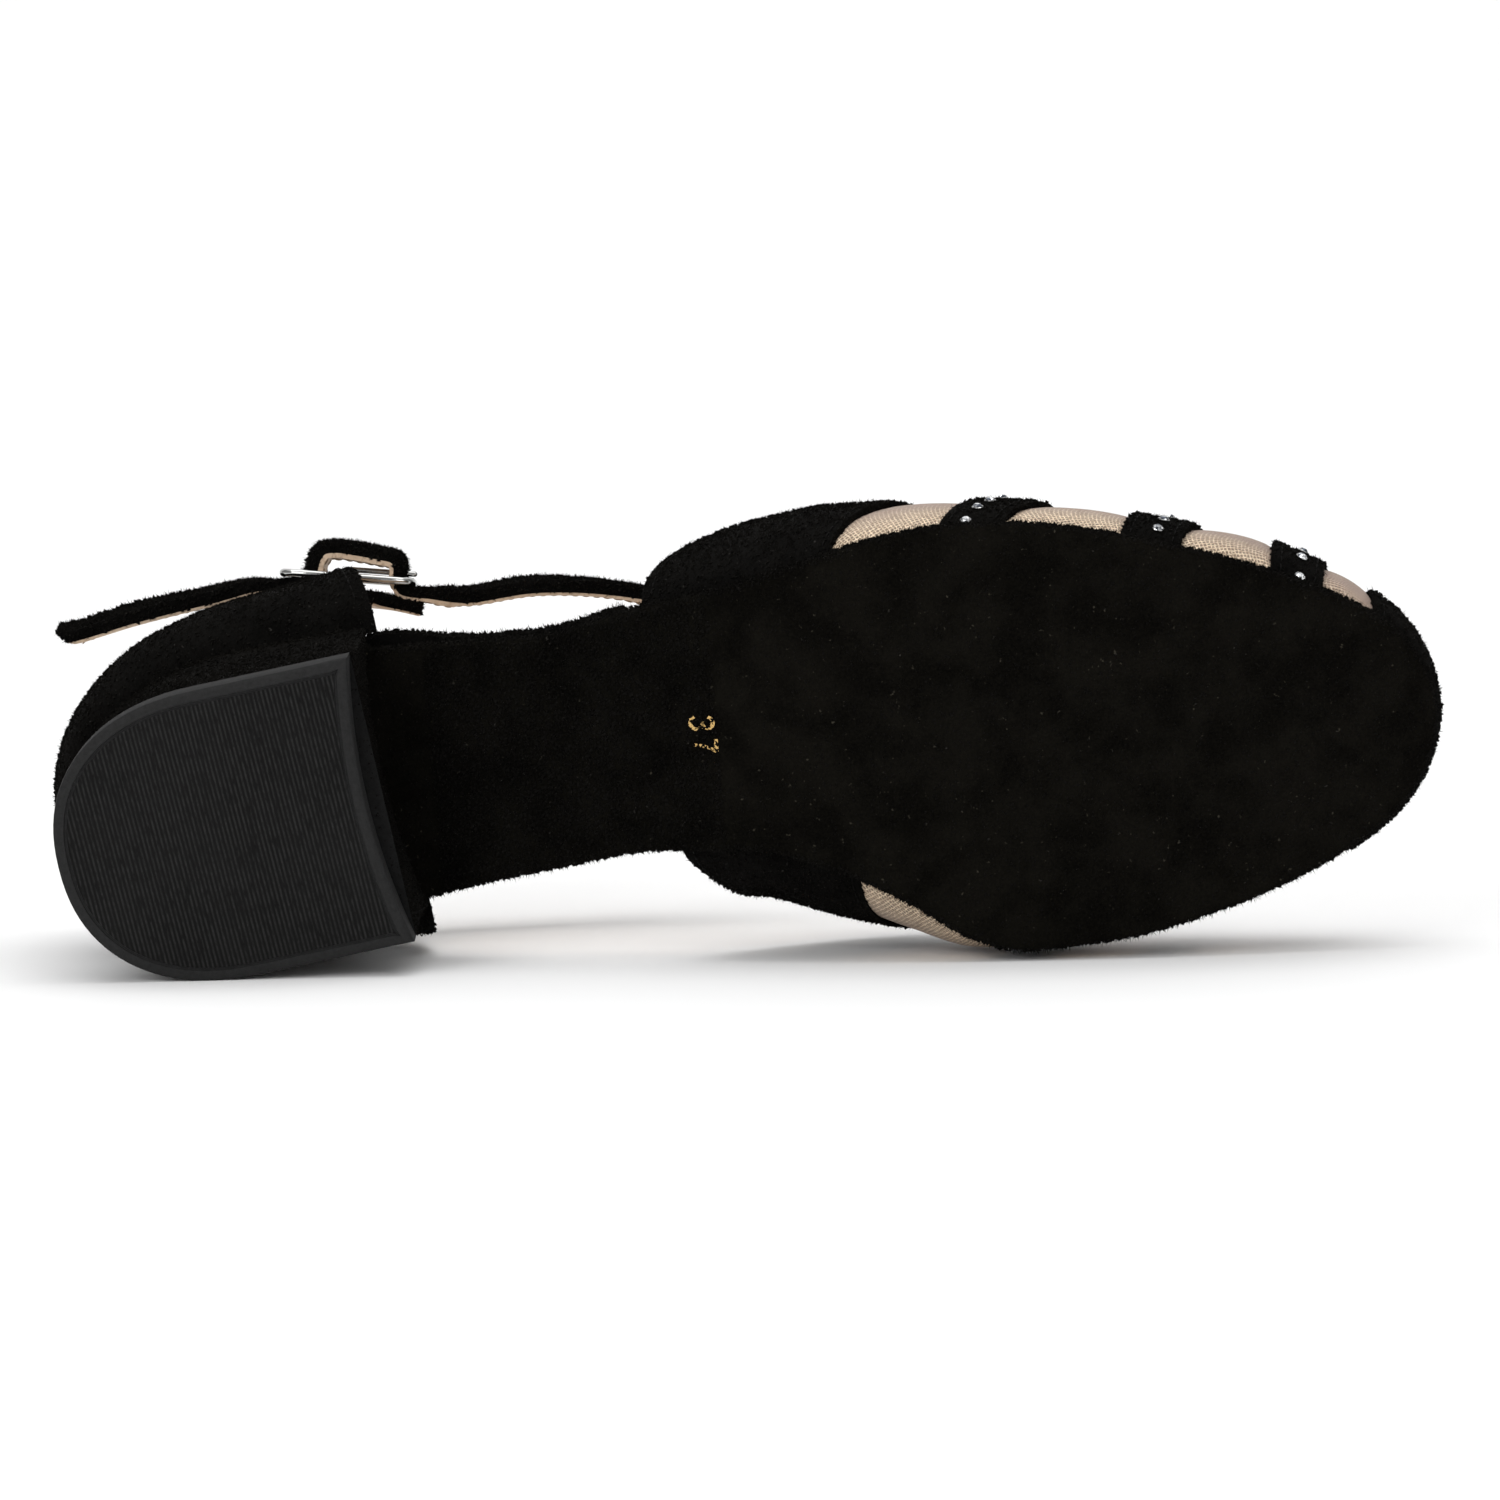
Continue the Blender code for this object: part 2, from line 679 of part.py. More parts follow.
def buckle_axes():
    """Directions along the buckle to the toe, across it upwards, and out of its plane."""
    along = np.array([math.cos(BUCKLE_YAW), math.sin(BUCKLE_YAW), 0.0])
    up = np.array([0.0, BUCKLE_LEAN, 1.0])
    up -= along * np.dot(up, along)
    up /= np.linalg.norm(up)
    out = np.cross(along, up)
    return along, up, out


def at_buckle(along_share, out_share, up_distance=0.0):
    """A place by the buckle, in shares of its length along it and out of its plane."""
    along, up, out = buckle_axes()
    place = np.array(BUCKLE_CENTRE) + BUCKLE_LENGTH * (along_share * along + out_share * out)
    return place + up_distance * up


def on_route(row):
    """A point of the free strap from its row of shares."""
    x, y, z = row
    return np.array([x * SOLE_LENGTH, y * BALL_WIDTH / 2, z * INSTEP_HEIGHT])


def material(name, colour, roughness, metallic=0.0):
    """A plain surface of one colour."""
    made = bpy.data.materials.new(name)
    made.use_nodes = True
    shader = made.node_tree.nodes["Principled BSDF"]
    shader.inputs["Base Color"].default_value = (*colour, 1.0)
    shader.inputs["Roughness"].default_value = roughness
    shader.inputs["Metallic"].default_value = metallic
    return made


def make_materials():
    """One material for each finish of the shoe."""
    return {
        "suede": material("black_suede", (0.012, 0.011, 0.011), 0.95),
        "rubber": material("charcoal_rubber", (0.030, 0.030, 0.032), 0.75),
        "sole": material("black_suede_sole", (0.010, 0.010, 0.010), 0.95),
        "net": material("beige_net", (0.62, 0.50, 0.38), 0.70),
        "lining": material("beige_lining", (0.70, 0.56, 0.42), 0.60),
        "steel": material("polished_steel", (0.72, 0.72, 0.72), 0.20, 1.0),
    }


def make_outsole(finish):
    """The outsole, from the back of the seat to the toe."""
    angles = np.linspace(0, math.pi, SOLE_STATIONS)
    breast = PROFILE_ROWS[0][0] * SOLE_LENGTH
    extra = [breast + shift * MM for shift in (-5, -3.5, -2, -0.5, 1)]
    stations = sorted([SOLE_LENGTH * (1 - math.cos(a)) / 2 for a in angles] + extra)
    back = (SEAT_LINE - SEAT_OUTWARD * SEAT_INSET)[:, 0].min()
    stations = tip_stations(stations, back, 0.03 * MM)
    levels = [
        (underside, SOLE_EDGE_ROUND),
        (lambda x: underside(x) + SOLE_EDGE_ROUND, 0.0),
        (lambda x: underside(x) + sole_thickness(x), 0.0),
    ]
    return slab("outsole", stations, sole_edge, levels, finish["sole"])


def tip_stations(stations, back, margin):
    """The stations from the back to the toe, with small flats for ends, and none too close together."""
    inside = [back + margin]
    for x in stations:
        if inside[-1] + 10 * margin < x < SOLE_LENGTH - 5 * margin:
            inside.append(x)
    return inside + [SOLE_LENGTH - margin]


def board_edge(x, side):
    """Outline of the insole board: inside the walls, and out to its own edge between them."""
    theta = angle_of(x / SOLE_LENGTH)
    free = sole_edge(x, side)
    if side == LATERAL:
        free -= BOARD_OVERHANG * (1 - 0.75 * smooth_step(x, 0.238 * SOLE_LENGTH, 0.32 * SOLE_LENGTH))
    front_share = 0.0 if side == LATERAL else 1.0
    counter_end = seat_foot(front_share)[0][0] + GAP
    vamp_start = THROAT_FOOT[0 if side == LATERAL else 1] * SOLE_LENGTH - GAP
    in_counter = 1 - smooth_step(x, counter_end, counter_end + 2 * MM)
    in_vamp = smooth_step(x, vamp_start - 2 * MM, vamp_start)
    walled = free
    if x < counter_end + 2 * MM:
        walled = seat_edge(x, side, BOARD_INSET)
    if x > vamp_start - 2 * MM:
        inner = np.array([edge_point(a, side, BOARD_IN_VAMP) for a in np.linspace(1.2, math.pi, 60)])
        walled = float(np.interp(x, inner[:, 0], inner[:, 1]))
    return free + (walled - free) * max(in_counter, in_vamp)


def make_insole(finish):
    """The covered board that the foot stands on."""
    back = SEAT_LINE[:, 0].min() + BOARD_INSET + 0.1 * MM
    front = SOLE_LENGTH - FEATHER_INSET - VAMP_WALL - 2 * GAP - 0.1 * MM
    angles = np.linspace(0, math.pi, SOLE_STATIONS - 8)
    stations = [back + (front - back) * (1 - math.cos(a)) / 2 for a in angles]
    for side in (LATERAL, MEDIAL):
        counter_end = seat_foot(0.0 if side == LATERAL else 1.0)[0][0] + GAP
        vamp_start = THROAT_FOOT[0 if side == LATERAL else 1] * SOLE_LENGTH - GAP
        stations += [counter_end, counter_end + 2 * MM, vamp_start - 2 * MM, vamp_start]
    levels = [(foot_level, 0.0), (lambda x: foot_level(x) + BOARD_THICKNESS, 0.3 * MM)]
    return slab("insole", sorted(stations), board_edge, levels, finish["lining"])


def make_heel(finish):
    """The covered heel block and the rubber top piece that it walks on."""
    low = d_outline(0.0, HEEL_BACK_ROUND, HEEL_WIDTH / 2, HEEL_SQUARENESS, HEEL_LENGTH)
    high = seat_side(inset=0.6 * MM)
    bottom = TOP_PIECE_THICKNESS + GAP
    loops = []
    for share in (0.0, 0.2, 0.45, 0.7, 0.88, 1.0):
        waist = HEEL_WAIST_IN * math.sin(math.pi * share)
        side = []
        for (u0, v0), (u1, v1) in zip(low, high):
            shrink = 1 - waist / (HEEL_WIDTH / 2)
            side.append((u0 + (u1 - u0) * share, (v0 + (v1 - v0) * share) * shrink))
        loop = heel_loop(side, BREAST_HOLLOW)
        loops.append([(p[0], p[1], bottom + share * (underside(p[0]) - GAP - bottom)) for p in loop])
    stack("heel_block", loops, finish["suede"])

    shrink = 1 - 2 * TOP_PIECE_CHAMFER / HEEL_WIDTH
    ground = [(u + TOP_PIECE_CHAMFER * (1 - u / HEEL_LENGTH * 2), v * shrink) for u, v in low]
    loops = []
    for side, z in ((ground, 0.0), (low, TOP_PIECE_CHAMFER), (low, TOP_PIECE_THICKNESS)):
        loops.append([(p[0], p[1], z) for p in heel_loop(side, BREAST_HOLLOW)])
    stack("top_piece", loops, finish["rubber"])


def make_counter(finish):
    """The heel cup: one wall from the outer front edge round the heel to the inner one."""
    shell("counter", counter_grid(0.0), counter_grid(-COUNTER_WALL), finish["suede"])


def make_vamp(finish):
    """The hollow forepart of net over its lining, and the suede pieces sewn onto it."""
    names = ("forefoot_strap_rear", "forefoot_strap_middle", "forefoot_strap_front")
    pieces = {"vamp_wings": [(THROAT, 4), (WING_FRONT, 1)]}
    for name, foot, width, arch in zip(names, STRAP_FOOT, STRAP_WIDTH, STRAP_ARCH):
        rear = edge_line(foot, arch, (1.0, 1.0))
        front = edge_line(foot, arch, (1.0, 1.0), width)
        pieces[name] = [(rear, 2), (front, 2)]
    cap = edge_line(TOE_CAP_FOOT, TOE_CAP_ARCH, (1.0, 1.0))
    pieces["toe_cap"] = [(cap, 6), (toe_tip, 0)]

    all_lines = [line for lines in pieces.values() for line in lines]
    outer, inner = (vamp_grid(all_lines, lift) for lift in (0.0, -VAMP_WALL))
    shell("vamp", outer, inner, finish["net"], closed_end=True)
    for name, lines in pieces.items():
        outer, inner = (vamp_grid(lines, lift) for lift in (GAP + OVERLAY_THICKNESS, GAP))
        shell(name, outer, inner, finish["suede"], closed_end=name == "toe_cap")


def sewn_inside(places, thickness):
    """Points and width directions of a strap end that lies against the counter's inner face."""
    lift = -COUNTER_WALL - 3 * GAP - thickness / 2
    points = [counter_point(share, h, lift) for share, h in places]
    rises = []
    for share, h in places:
        rise = counter_point(share, h + 0.08, lift) - counter_point(share, h - 0.08, lift)
        rises.append(rise / np.linalg.norm(rise))
    return points, rises


def width_directions(path, rises, known):
    """The width's direction along a path: as the sewn end's, then turning into the free strap's."""
    directions = []
    for i, point in enumerate(path):
        k = i / known
        free = strap_rise(point)
        if k < len(rises) - 1:
            low = int(k)
            directions.append(rises[low] + (rises[low + 1] - rises[low]) * (k - low))
        else:
            blend = smooth_step(k, len(rises) - 1, len(rises) + 1)
            directions.append(rises[-1] * (1 - blend) + free / np.linalg.norm(free) * blend)
    return directions


def make_instep_strap(finish):
    """The strap round the instep, through the buckle, with its loose tail."""
    places = ((0.86, 0.72), (0.90, 0.76), (0.94, 0.80), (0.97, 0.84))
    sewn, rises = sewn_inside(places, INSTEP_STRAP_THICKNESS)
    free = [on_route(row) for row in INSTEP_ROUTE]
    arch = [at_buckle(*row) for row in BUCKLE_ROUTE]
    tail = [on_route(row) for row in TAIL_ROUTE]
    steps = [2] * len(sewn) + [3] * len(free) + [2] * (len(arch) - 1) + [3] * len(tail)
    path = through(sewn + free + arch + tail, steps)
    first = sum(steps[: len(sewn) + len(free) + HOLE_STRETCH[0]])
    last = sum(steps[: len(sewn) + len(free) + HOLE_STRETCH[1]])
    gaps = [(i, 1) for i in range(first, last)]
    across = width_directions(path, rises, 2)
    hole = STRAP_HOLE / INSTEP_STRAP_WIDTH / 2
    ribbon("instep_strap", path, across, INSTEP_STRAP_WIDTH, INSTEP_STRAP_THICKNESS, finish["suede"],
           columns=(-0.5, -hole, hole, 0.5), gaps=gaps)


def strap_rise(point):
    """Direction of the strap's width: upright at the sides, and back along the instep in front."""
    front = smooth_step(point[0] / SOLE_LENGTH, 0.287, 0.504)
    inward = -point[1] / (BALL_WIDTH / 2)
    at_frame = 1 - smooth_step(abs(point[0] - BUCKLE_CENTRE[0]), BUCKLE_LENGTH * 0.5, BUCKLE_LENGTH)
    lean = STRAP_LEAN + (BUCKLE_LEAN - STRAP_LEAN) * at_frame * min(max(inward * 1.5, 0.0), 1.0)
    return np.array([-0.85 * front, lean if point[1] < 0 else -STRAP_LEAN, 1.0])


def make_tab(finish):
    """The short tab inside the counter that carries the buckle, with its free front end."""
    sewn, rises = sewn_inside(((0.13, 0.80), (0.10, 0.83), (0.07, 0.86), (0.04, 0.89)), TAB_THICKNESS)
    free = [at_buckle(0.16, -0.165, -1.2 * MM), at_buckle(0.36, -0.178, -0.6 * MM), at_buckle(0.53, -0.200)]
    path = through(sewn + free, [2] * 6)
    ribbon("buckle_tab", path, width_directions(path, rises, 2), TAB_WIDTH, TAB_THICKNESS, finish["suede"])


def make_buckle(finish):
    """The frame with its bar, the prong on the bar and the hook that lies on the tab."""
    along, up, out = buckle_axes()
    centre = np.array(BUCKLE_CENTRE)
    half_length = (BUCKLE_LENGTH - BUCKLE_WIRE) / 2
    half_height = (BUCKLE_HEIGHT - BUCKLE_WIRE) / 2
    power = 2 / BUCKLE_SQUARENESS
    ring = []
    for k in range(36):
        angle = 2 * math.pi * k / 36
        cos, sin = math.cos(angle), math.sin(angle)
        a = half_length * math.copysign(abs(cos) ** power, cos)
        b = half_height * math.copysign(abs(sin) ** power, sin)
        ring.append(centre + a * along + b * up)
    frame = tube("buckle_frame", ring, BUCKLE_WIRE / 2, 6, finish["steel"], closed=True, across=out)
    ends = [centre - half_height * up, centre + half_height * up]
    bar = tube("buckle_bar_tool", ends, BAR_WIRE / 2, 8, finish["steel"], across=out)
    bar.hide_render = True
    bar.display_type = "WIRE"
    joined = frame.modifiers.new("bar", "BOOLEAN")
    joined.operation = "UNION"
    joined.object = bar

    prong_radius = PRONG_WIRE / 2
    eye = BAR_WIRE / 2 + GAP + prong_radius
    rest = BUCKLE_WIRE / 2 + GAP + prong_radius
    path = [centre + eye * (math.cos(a) * along + math.sin(a) * out)
            for a in np.radians(np.linspace(-200, 90, 12))]
    path.append(centre + half_length * along * 0.5 + (eye + (rest - eye) * 0.5) * out)
    path.append(centre + (half_length + BUCKLE_WIRE * 0.3) * along + rest * out)
    tube("buckle_prong", path, prong_radius, 6, finish["steel"], across=up)

    path = through([at_buckle(0.06, -0.102), at_buckle(0.18, -0.100), at_buckle(0.31, -0.100)], [2, 2])
    ribbon("buckle_hook", path, [up] * len(path), HOOK_WIDTH, HOOK_THICKNESS, finish["steel"])


def solid_moment(obj):
    """Volume of a closed mesh and its first moment."""
    obj.data.calc_loop_triangles()
    points = np.array([v.co[:] for v in obj.data.vertices])
    corners = np.array([t.vertices[:] for t in obj.data.loop_triangles])
    a, b, c = points[corners[:, 0]], points[corners[:, 1]], points[corners[:, 2]]
    volumes = np.einsum("ij,ij->i", a, np.cross(b, c)) / 6
    return volumes.sum(), ((a + b + c) / 4 * volumes[:, None]).sum(axis=0)


def lay_on_side(pieces):
    """The turn and shift that lay the shoe on its inner side where it comes to rest.

    The plane is the face of the shoe's hull, on the inner side, that carries the centre of mass.
    """
    weight, moment = 0.0, np.zeros(3)
    for obj in pieces:
        density = LEATHER_DENSITY
        if obj.name in ("heel_block", "top_piece"):
            density = HEEL_DENSITY
        elif obj.name.startswith("buckle_") and obj.name != "buckle_tab":
            density = METAL_DENSITY
        volume, first = solid_moment(obj)
        weight += density * abs(volume)
        moment += density * first * np.sign(volume)
    middle = moment / weight

    hull = bmesh.new()
    for obj in pieces:
        for vertex in obj.data.vertices:
            hull.verts.new(vertex.co)
    found = bmesh.ops.convex_hull(hull, input=hull.verts, use_existing_faces=False)
    faces = {f for f in found["geom"] if isinstance(f, bmesh.types.BMFace)}
    best, down = -1.0, None
    for face in faces:
        corners = [np.array(v.co[:]) for v in face.verts]
        normal = np.cross(corners[1] - corners[0], corners[2] - corners[0])
        size = np.linalg.norm(normal)
        if size < 1e-9:
            continue
        normal /= size
        if np.dot(normal, corners[0] - middle) < 0:
            normal = -normal
        if normal[1] < 0.8:
            continue
        foot = middle + normal * np.dot(corners[0] - middle, normal)
        margins = []
        for k in range(3):
            edge = corners[(k + 1) % 3] - corners[k]
            inward = np.cross(normal, edge / np.linalg.norm(edge))
            side = np.dot(corners[(k + 2) % 3] - corners[k], inward)
            margins.append(np.dot(foot - corners[k], inward) * np.sign(side))
        if min(margins) > best:
            best, down = min(margins), normal
    hull.free()

    z_axis = -down
    x_axis = np.array([1.0, 0.0, 0.0]) - down * down[0]
    x_axis /= np.linalg.norm(x_axis)
    y_axis = np.cross(z_axis, x_axis)
    turn = np.array([x_axis, y_axis, z_axis])
    points = np.concatenate([np.array([v.co[:] for v in obj.data.vertices]) for obj in pieces]) @ turn.T
    low, high = points.min(axis=0), points.max(axis=0)
    shift = -np.array([(low[0] + high[0]) / 2, (low[1] + high[1]) / 2, low[2]])
    placed = Matrix([(*turn[k], shift[k]) for k in range(3)] + [(0, 0, 0, 1)])
    return placed


def main():
    """Build the shoe standing, then lay it down."""
    for obj in list(bpy.data.objects):
        bpy.data.objects.remove(obj, do_unlink=True)
    finish = make_materials()
    make_outsole(finish)
    make_insole(finish)
    make_heel(finish)
    make_counter(finish)
    make_vamp(finish)
    make_instep_strap(finish)
    make_tab(finish)
    make_buckle(finish)
    pieces = [obj for obj in bpy.data.objects if not obj.hide_render]
    placed = lay_on_side(pieces)
    shoe = bpy.data.objects.new("shoe_placement", None)
    bpy.context.collection.objects.link(shoe)
    shoe.matrix_world = placed
    for obj in bpy.data.objects:
        if obj is not shoe:
            obj.parent = shoe


main()
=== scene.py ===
"""Looks of the ballroom dance shoe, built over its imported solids.

Every form is worked out with the shoe standing, in the shoe's own axes: x from the back of the sole
to the toe, y to the inner side of the foot, z up from the ground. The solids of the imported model
then say how the shoe lies on its inner side, and each piece is laid down with them.
"""

import math

import bmesh
import bpy
import numpy as np
from mathutils import Matrix, Vector, noise


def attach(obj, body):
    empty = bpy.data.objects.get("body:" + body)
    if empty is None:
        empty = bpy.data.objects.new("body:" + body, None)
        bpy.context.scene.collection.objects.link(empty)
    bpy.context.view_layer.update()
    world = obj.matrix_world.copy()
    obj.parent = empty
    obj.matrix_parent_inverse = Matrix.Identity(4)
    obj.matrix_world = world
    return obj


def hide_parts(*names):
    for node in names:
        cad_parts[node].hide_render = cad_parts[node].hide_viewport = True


MM = 0.001
LATERAL, MEDIAL = -1, 1
GAP = 0.3 * MM

# Bottom of the shoe
SOLE_LENGTH = 244 * MM
SOLE_END_FLAT = 0.03 * MM
BALL_WIDTH = 76 * MM
HEEL_HEIGHT = 38 * MM
BREAST_HEIGHT = 30 * MM
TOE_SPRING = 8.2 * MM
SOLE_THICKNESS = 3.0 * MM
SEAT_THICKNESS = 1.6 * MM
BOARD_THICKNESS = 2.2 * MM
BOARD_OVERHANG = 2.6 * MM
SEAT_INSET = 0.5 * MM
SEAT_TAPER = (-0.049, 0.025)
EDGE_BLEND = (-5 * MM, 1 * MM)
SOLE_FOOT = ((0.0, 0.9 * MM), (0.12 * MM, 0.35 * MM), (0.5 * MM, 0.05 * MM))
SOLE_TOP_ROUND = 0.25 * MM
SOCK_LEVELS = (
    (0.0, 0.3 * MM),
    (0.25, 0.0),
    (0.75, 0.0),
    (1.0, 0.7 * MM),
    (1.0, 2.2 * MM),
    (1.06, 2.5 * MM),
)
BOARD_OUT_AGAIN = (0.75, 0.238, 0.32)
COUNTER_MEET = (-1.2 * MM, 1.6 * MM)
VAMP_MEET = 2 * MM
SLAB_COLUMNS = 12

# Heel
HEEL_TURN = math.radians(7.6)
HEEL_BACK = (2.2 * MM, 6.4 * MM)
HEEL_WIDTH = 51.8 * MM
HEEL_LENGTH = 57.8 * MM
HEEL_BACK_ROUND = 30 * MM
HEEL_SQUARENESS = 2.25
BREAST_HOLLOW = 2.8 * MM
TOP_PIECE_THICKNESS = 5 * MM
HEEL_WAIST_IN = 0.9 * MM
SEAT_WIDTH = 52.6 * MM
SEAT_BACK_OUT = 1.7 * MM
SEAT_BACK_ROUND = 36 * MM
SEAT_LENGTH = 58.6 * MM

# Counter
COUNTER_WALL = 2.2 * MM
COUNTER_HEIGHT = 54 * MM
COUNTER_SWELL = 8.5 * MM
COUNTER_LEAN = (8.8 * MM, 7 * MM)
COUNTER_REACH = 1.8 * MM
COUNTER_CORNER = 6 * MM
SWELL_LEVEL = 0.55

# Forepart
VAMP_WALL = 1.3 * MM
FEATHER_INSET = 1.2 * MM
INSTEP_HEIGHT = 80 * MM
TOE_BULGE = 1.6 * MM
SECTION_SQUARENESS = 2.35
OVERLAY_THICKNESS = 1.0 * MM
STRAP_WIDTH = (11 * MM, 10 * MM, 8.5 * MM)
THROAT_FOOT = (0.4385, 0.4529)
THROAT_ARCH = 0.209
WING_FRONT_FOOT = (0.5738, 0.5779)
WING_FRONT_ARCH = 0.1373
STRAP_FOOT = ((0.6535, 0.6598), (0.7828, 0.7684), (0.8893, 0.8607))
STRAP_ARCH = (0.0738, 0.0410, 0.0205)
TOE_CAP_FOOT = (0.9631, 0.9303)
TOE_CAP_ARCH = 0.0041

# Instep strap, tab and buckle
INSTEP_STRAP_WIDTH = 8 * MM
STRAP_TURN = (0.287, 0.504)
STRAP_BACK = 0.85
INSTEP_STRAP_THICKNESS = 2.2 * MM
STRAP_LEAN = 0.04
STRAP_HOLE = 1.8 * MM
TAB_WIDTH = 8 * MM
TAB_THICKNESS = 2.0 * MM
BUCKLE_CENTRE = (50.5 * MM, -28.3 * MM, 80 * MM)
BUCKLE_YAW = math.radians(8.95)
BUCKLE_LEAN = 0.2
BUCKLE_LENGTH = 25.7 * MM
BUCKLE_HEIGHT = 14 * MM
BUCKLE_WIRE = 1.5 * MM
BUCKLE_SQUARENESS = 5.0
BAR_WIRE = 1.4 * MM
PRONG_WIRE = 1.1 * MM
HOOK_WIDTH = 5 * MM
HOOK_THICKNESS = 0.7 * MM

# Trim
COUNTER_ROUND = 0.5 * MM
OVERLAY_ROUND = 0.35 * MM
STRAP_ROUND = 0.4 * MM
TAB_ROUND = 0.35 * MM
HOOK_ROUND = 0.2 * MM
OUTER_SKIVE = (0.45, 0.0, 0.04)
INNER_SKIVE = (0.85, 0.80, 0.93)
FOREPART_COLUMNS = 120
LINING_SHARE = 0.55 * MM
COUNTER_SUEDE = 0.3 * MM
TAB_LINING = 0.4 * MM
SUEDE_FULLNESS = 0.6 * MM
LINING_FULLNESS = 0.35 * MM
TAIL_TWIST = 0.12
TAIL_TWISTS = (8 * MM, 34 * MM)
FREE_OF_FRAME = (2.5 * MM, 6 * MM)
FREE_OF_COUNTER = (16 * MM, 26 * MM)
FREE_OF_TIP = (2 * MM, 16 * MM)
SLANTED_LENGTH = 9 * MM
TIP_CURL = 0.35 * MM
TAB_FULLNESS = 0.5 * MM
END_SLANT = 3.0 * MM
NET_PUFF = 0.75 * MM
OVERLAY_LIFT = 0.05 * MM
STONE_WIDTH = 1.8 * MM
STONE_SPACING = 5.8 * MM
STONE_LIFT = 0.12 * MM
STONE_ROWS = ((0.010, 0.975, 0.41), (0.038, 0.82, 0.55), (0.012, 0.82, 0.52))
STITCH_SPACING = 2.0 * MM
STITCH_SHARE = 0.78
STITCH_SWING = 0.12
STITCH_IN = 1.5 * MM
TOP_STITCH_IN = 2.2 * MM
TOP_STITCHES = (0.035, 0.965)
FRONT_STITCHES = (0.06, 0.93)
COUNTER_FRONTS = (0.016, 0.984)
THREAD_WIDTH = 0.28 * MM
THREAD_RISE = 0.16 * MM
THREAD_SINK = 0.05 * MM
RIB_PITCH = 0.78 * MM
RIB_TURN = math.radians(12)
DIGIT_HEIGHT = 4.0 * MM
DIGIT_WIDTH_SHARE = 0.80
DIGIT_STROKE = 0.68 * MM
DIGIT_LEVELS = (0.12 * MM, -0.02 * MM)
DIGIT_PLACES = {"3": (113.9 * MM, -9.7 * MM), "7": (114.3 * MM, -5.6 * MM)}
NUMBER_CENTRE = (117.0 * MM, -6.0 * MM)
NUMBER_CLEARING = 9 * MM

# Rings of the rubber top piece: insets and levels from its side over the groove, then shares of the
# ribbed field inside it
TIP_RIM = (
    (0.0, 1.0 * MM),
    (0.12 * MM, 0.4 * MM),
    (0.45 * MM, 0.1 * MM),
    (0.9 * MM, 0.0),
    (1.9 * MM, 0.0),
    (2.05 * MM, 0.35 * MM),
    (2.35 * MM, 0.35 * MM),
    (2.5 * MM, 0.05 * MM),
)
TIP_FIELD = (0.85, 0.6, 0.3, 0.08)

# Slight unevenness of hand work: its height, the size of its waves and a seed
COUNTER_UNEVEN = (0.35 * MM, 14 * MM, 3.0)
OVERLAY_UNEVEN = (0.12 * MM, 9 * MM, 7.0)
STRAP_UNEVEN = (0.15 * MM, 6 * MM, 1.0)

# Nap: fibres to the square millimetre, their length, width and seed, for tufts and then for hairs
SOLE_NAP = ((1.3, 0.20 * MM, 0.26 * MM, 11), (1.2, 0.5 * MM, 0.05 * MM, 12))
SOLE_EDGE_NAP = ((3.4, 0.46 * MM, 0.36 * MM, 13), (5.5, 0.85 * MM, 0.06 * MM, 14))
HEEL_NAP = ((1.4, 0.36 * MM, 0.33 * MM, 15), (1.5, 0.65 * MM, 0.05 * MM, 16))
OVERLAY_NAP = ((1.6, 0.38 * MM, 0.34 * MM, 17), (2.0, 0.65 * MM, 0.05 * MM, 18))
STRAP_NAP = ((3.0, 0.48 * MM, 0.36 * MM, 19), (6.0, 0.75 * MM, 0.06 * MM, 20))
NAP_LEAN = 0.9
NAP_SCALES = (0.2, 1.6)

# Colours, darker or lower first
SUEDE = ((0.0016, 0.0015, 0.0014), (0.0060, 0.0057, 0.0052))
SOLE_SUEDE = ((0.0011, 0.0010, 0.0008), (0.0074, 0.0067, 0.0051))
FIBRES = ((0.0026, 0.0024, 0.0021), (0.0080, 0.0075, 0.0066))
SHEEN = (0.55, 0.5, 0.45, 1.0)
# The lining seen through the net's holes, painted darker than its own colour as painted shade in the holes
NET_LINING_AND_HOLE_SHADE = ((0.20, 0.145, 0.10), (0.33, 0.24, 0.165))
NET_YARN = ((0.50, 0.37, 0.25), (1.0, 0.82, 0.60))
# The ribbed colour that the net turns to towards the instep: rib strokes, darkened as painted shade
NET_RIBS_AND_SHADE = ((0.45, 0.33, 0.27), (0.06, 0.04, 0.033))
LINING = ((0.52, 0.38, 0.265), (0.66, 0.50, 0.36))
LINING_PORE = (0.34, 0.24, 0.16)
RUBBER_RIM = ((0.012, 0.012, 0.012), (0.022, 0.022, 0.022))
# Painted shade in the grooves between the ribs of the walking face
RUBBER_GROOVE_SHADE = ((0.0022, 0.0022, 0.0021), (0.0038, 0.0038, 0.0037))
RUBBER_RIB = ((0.0125, 0.0125, 0.0122), (0.023, 0.023, 0.0225))
STEEL = (0.48, 0.48, 0.47, 1.0)
# Painted glints: the stones' colours from dark to bright, patch by patch
STONE_GLINTS = ((0.05, 0.06, 0.08), (0.93, 0.94, 0.95))
BLACK_THREAD = (0.0065, 0.006, 0.0055)
BEIGE_THREAD = (0.42, 0.30, 0.19)
THREAD_SHADE = 0.55
FOIL = ((0.50, 0.29, 0.08), (0.80, 0.56, 0.24))
FOIL_RUBBED = (0.02, 0.017, 0.012)
FLOOR = ((0.94, 0.94, 0.94), (0.96, 0.96, 0.96))

